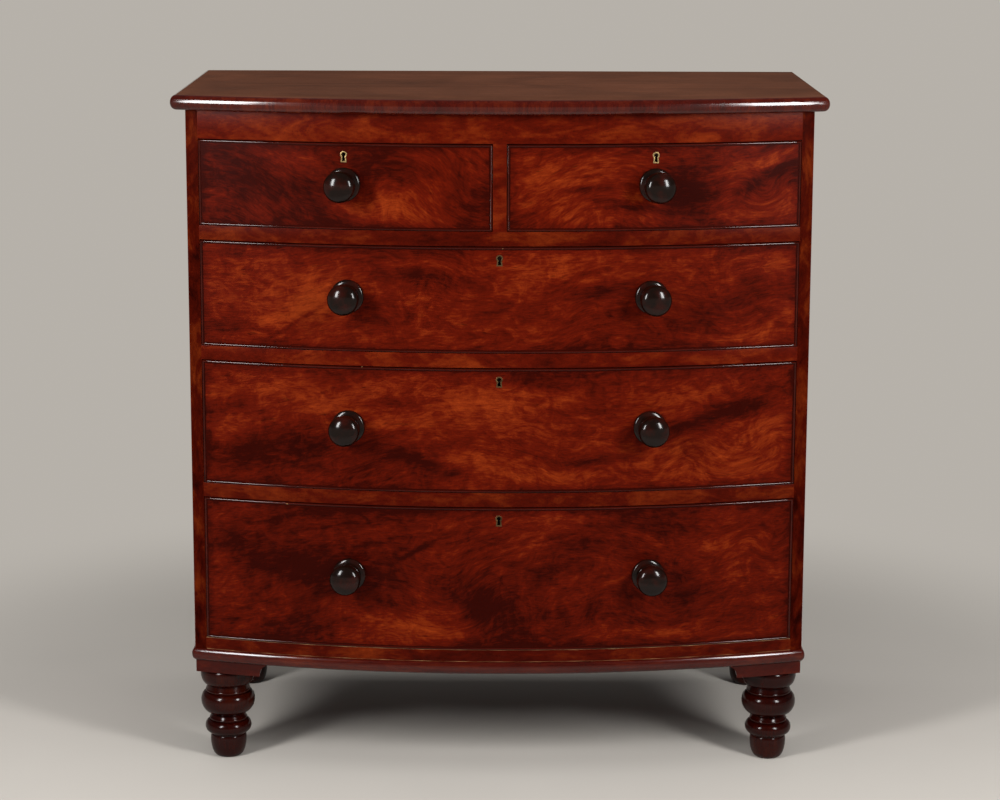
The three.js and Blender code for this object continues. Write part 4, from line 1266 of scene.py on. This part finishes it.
class CHEST_OT_knobs(bpy.types.Operator):
    """Turn the knobs and set them on the drawers"""
    bl_idname = "chest.knobs"
    bl_label = "Knobs"

    def execute(self, context):
        bow = Bow()
        for name in SHORT_DRAWERS:
            make_knob(bow, f"{name}_knob", name, drawer_sizes(name)["x"])
        for name in LONG_DRAWERS:
            for hand, side in HANDS.items():
                make_knob(bow, f"{name}_knob_{hand}", name, side * settings().knob.spacing / 2)
        return {"FINISHED"}


class CHEST_OT_feet(bpy.types.Operator):
    """Turn the feet and make the blocks over them"""
    bl_idname = "chest.feet"
    bl_label = "Feet"

    def execute(self, context):
        bow = Bow()
        for hand in HANDS:
            for end in ("front", "back"):
                make_foot(bow, hand, end)
        return {"FINISHED"}


class CHEST_OT_finishes(bpy.types.Operator):
    """Give every carried-over solid its finish"""
    bl_idname = "chest.finishes"
    bl_label = "Finishes"

    def execute(self, context):
        chosen = {"side_left": "side_polish", "side_right": "side_polish",
                  "muntin": "side_polish", "back_panel": "pine_upright",
                  "bottom_board": "pine_across", "partition": "pine_deep"}
        endings = {"_front": "core_polish", "_box": "pine_deep", "_bottom": "pine_across",
                   "_lock": "lock_iron", "_bolt": "lining_brass"}
        for name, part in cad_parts.items():
            ending = next((e for e in endings if name.endswith(e)), None)
            finish = chosen.get(name) or endings.get(ending) or "core_polish"
            part.data.materials.clear()
            part.data.materials.append(material(finish))
        return {"FINISHED"}


class CHEST_OT_stage(bpy.types.Operator):
    """Make the floor, the softboxes and the camera"""
    bl_idname = "chest.stage"
    bl_label = "Stage"

    def execute(self, context):
        studio = settings().studio
        make_floor(studio)
        make_world(studio)
        make_lamps(studio)
        make_camera(studio)
        context.scene.view_settings.view_transform = "Standard"
        return {"FINISHED"}


class CHEST_PT_panel(bpy.types.Panel):
    """Lists the chest's sizes, colours and operators"""
    bl_idname = "CHEST_PT_panel"
    bl_label = "Bow front chest"
    bl_space_type = "VIEW_3D"
    bl_region_type = "UI"
    bl_category = "Chest"

    def draw(self, context):
        chest = context.scene.bow_front_chest
        for name in ChestSettings.__annotations__:
            group = getattr(chest, name)
            box = self.layout.box()
            box.label(text=group.bl_rna.name)
            for key in type(group).__annotations__:
                box.prop(group, key)
        for operator in OPERATORS:
            self.layout.operator(operator.bl_idname)


OPERATORS = (CHEST_OT_stage, CHEST_OT_finishes, CHEST_OT_case, CHEST_OT_feet, CHEST_OT_drawers,
             CHEST_OT_knobs)
CLASSES = (CaseSizes, DrawerSizes, KeyholeSizes, KnobSizes, FootSizes, Finishes, Studio,
           ChestSettings, *OPERATORS, CHEST_PT_panel)


def register():
    for made in CLASSES:
        bpy.utils.register_class(made)
    bpy.types.Scene.bow_front_chest = PointerProperty(type=ChestSettings)


def unregister():
    del bpy.types.Scene.bow_front_chest
    for made in reversed(CLASSES):
        bpy.utils.unregister_class(made)


def main():
    register()
    bpy.ops.chest.stage()
    bpy.ops.chest.finishes()
    bpy.ops.chest.case()
    bpy.ops.chest.feet()
    bpy.ops.chest.drawers()
    bpy.ops.chest.knobs()


if __name__ == "__main__":
    main()
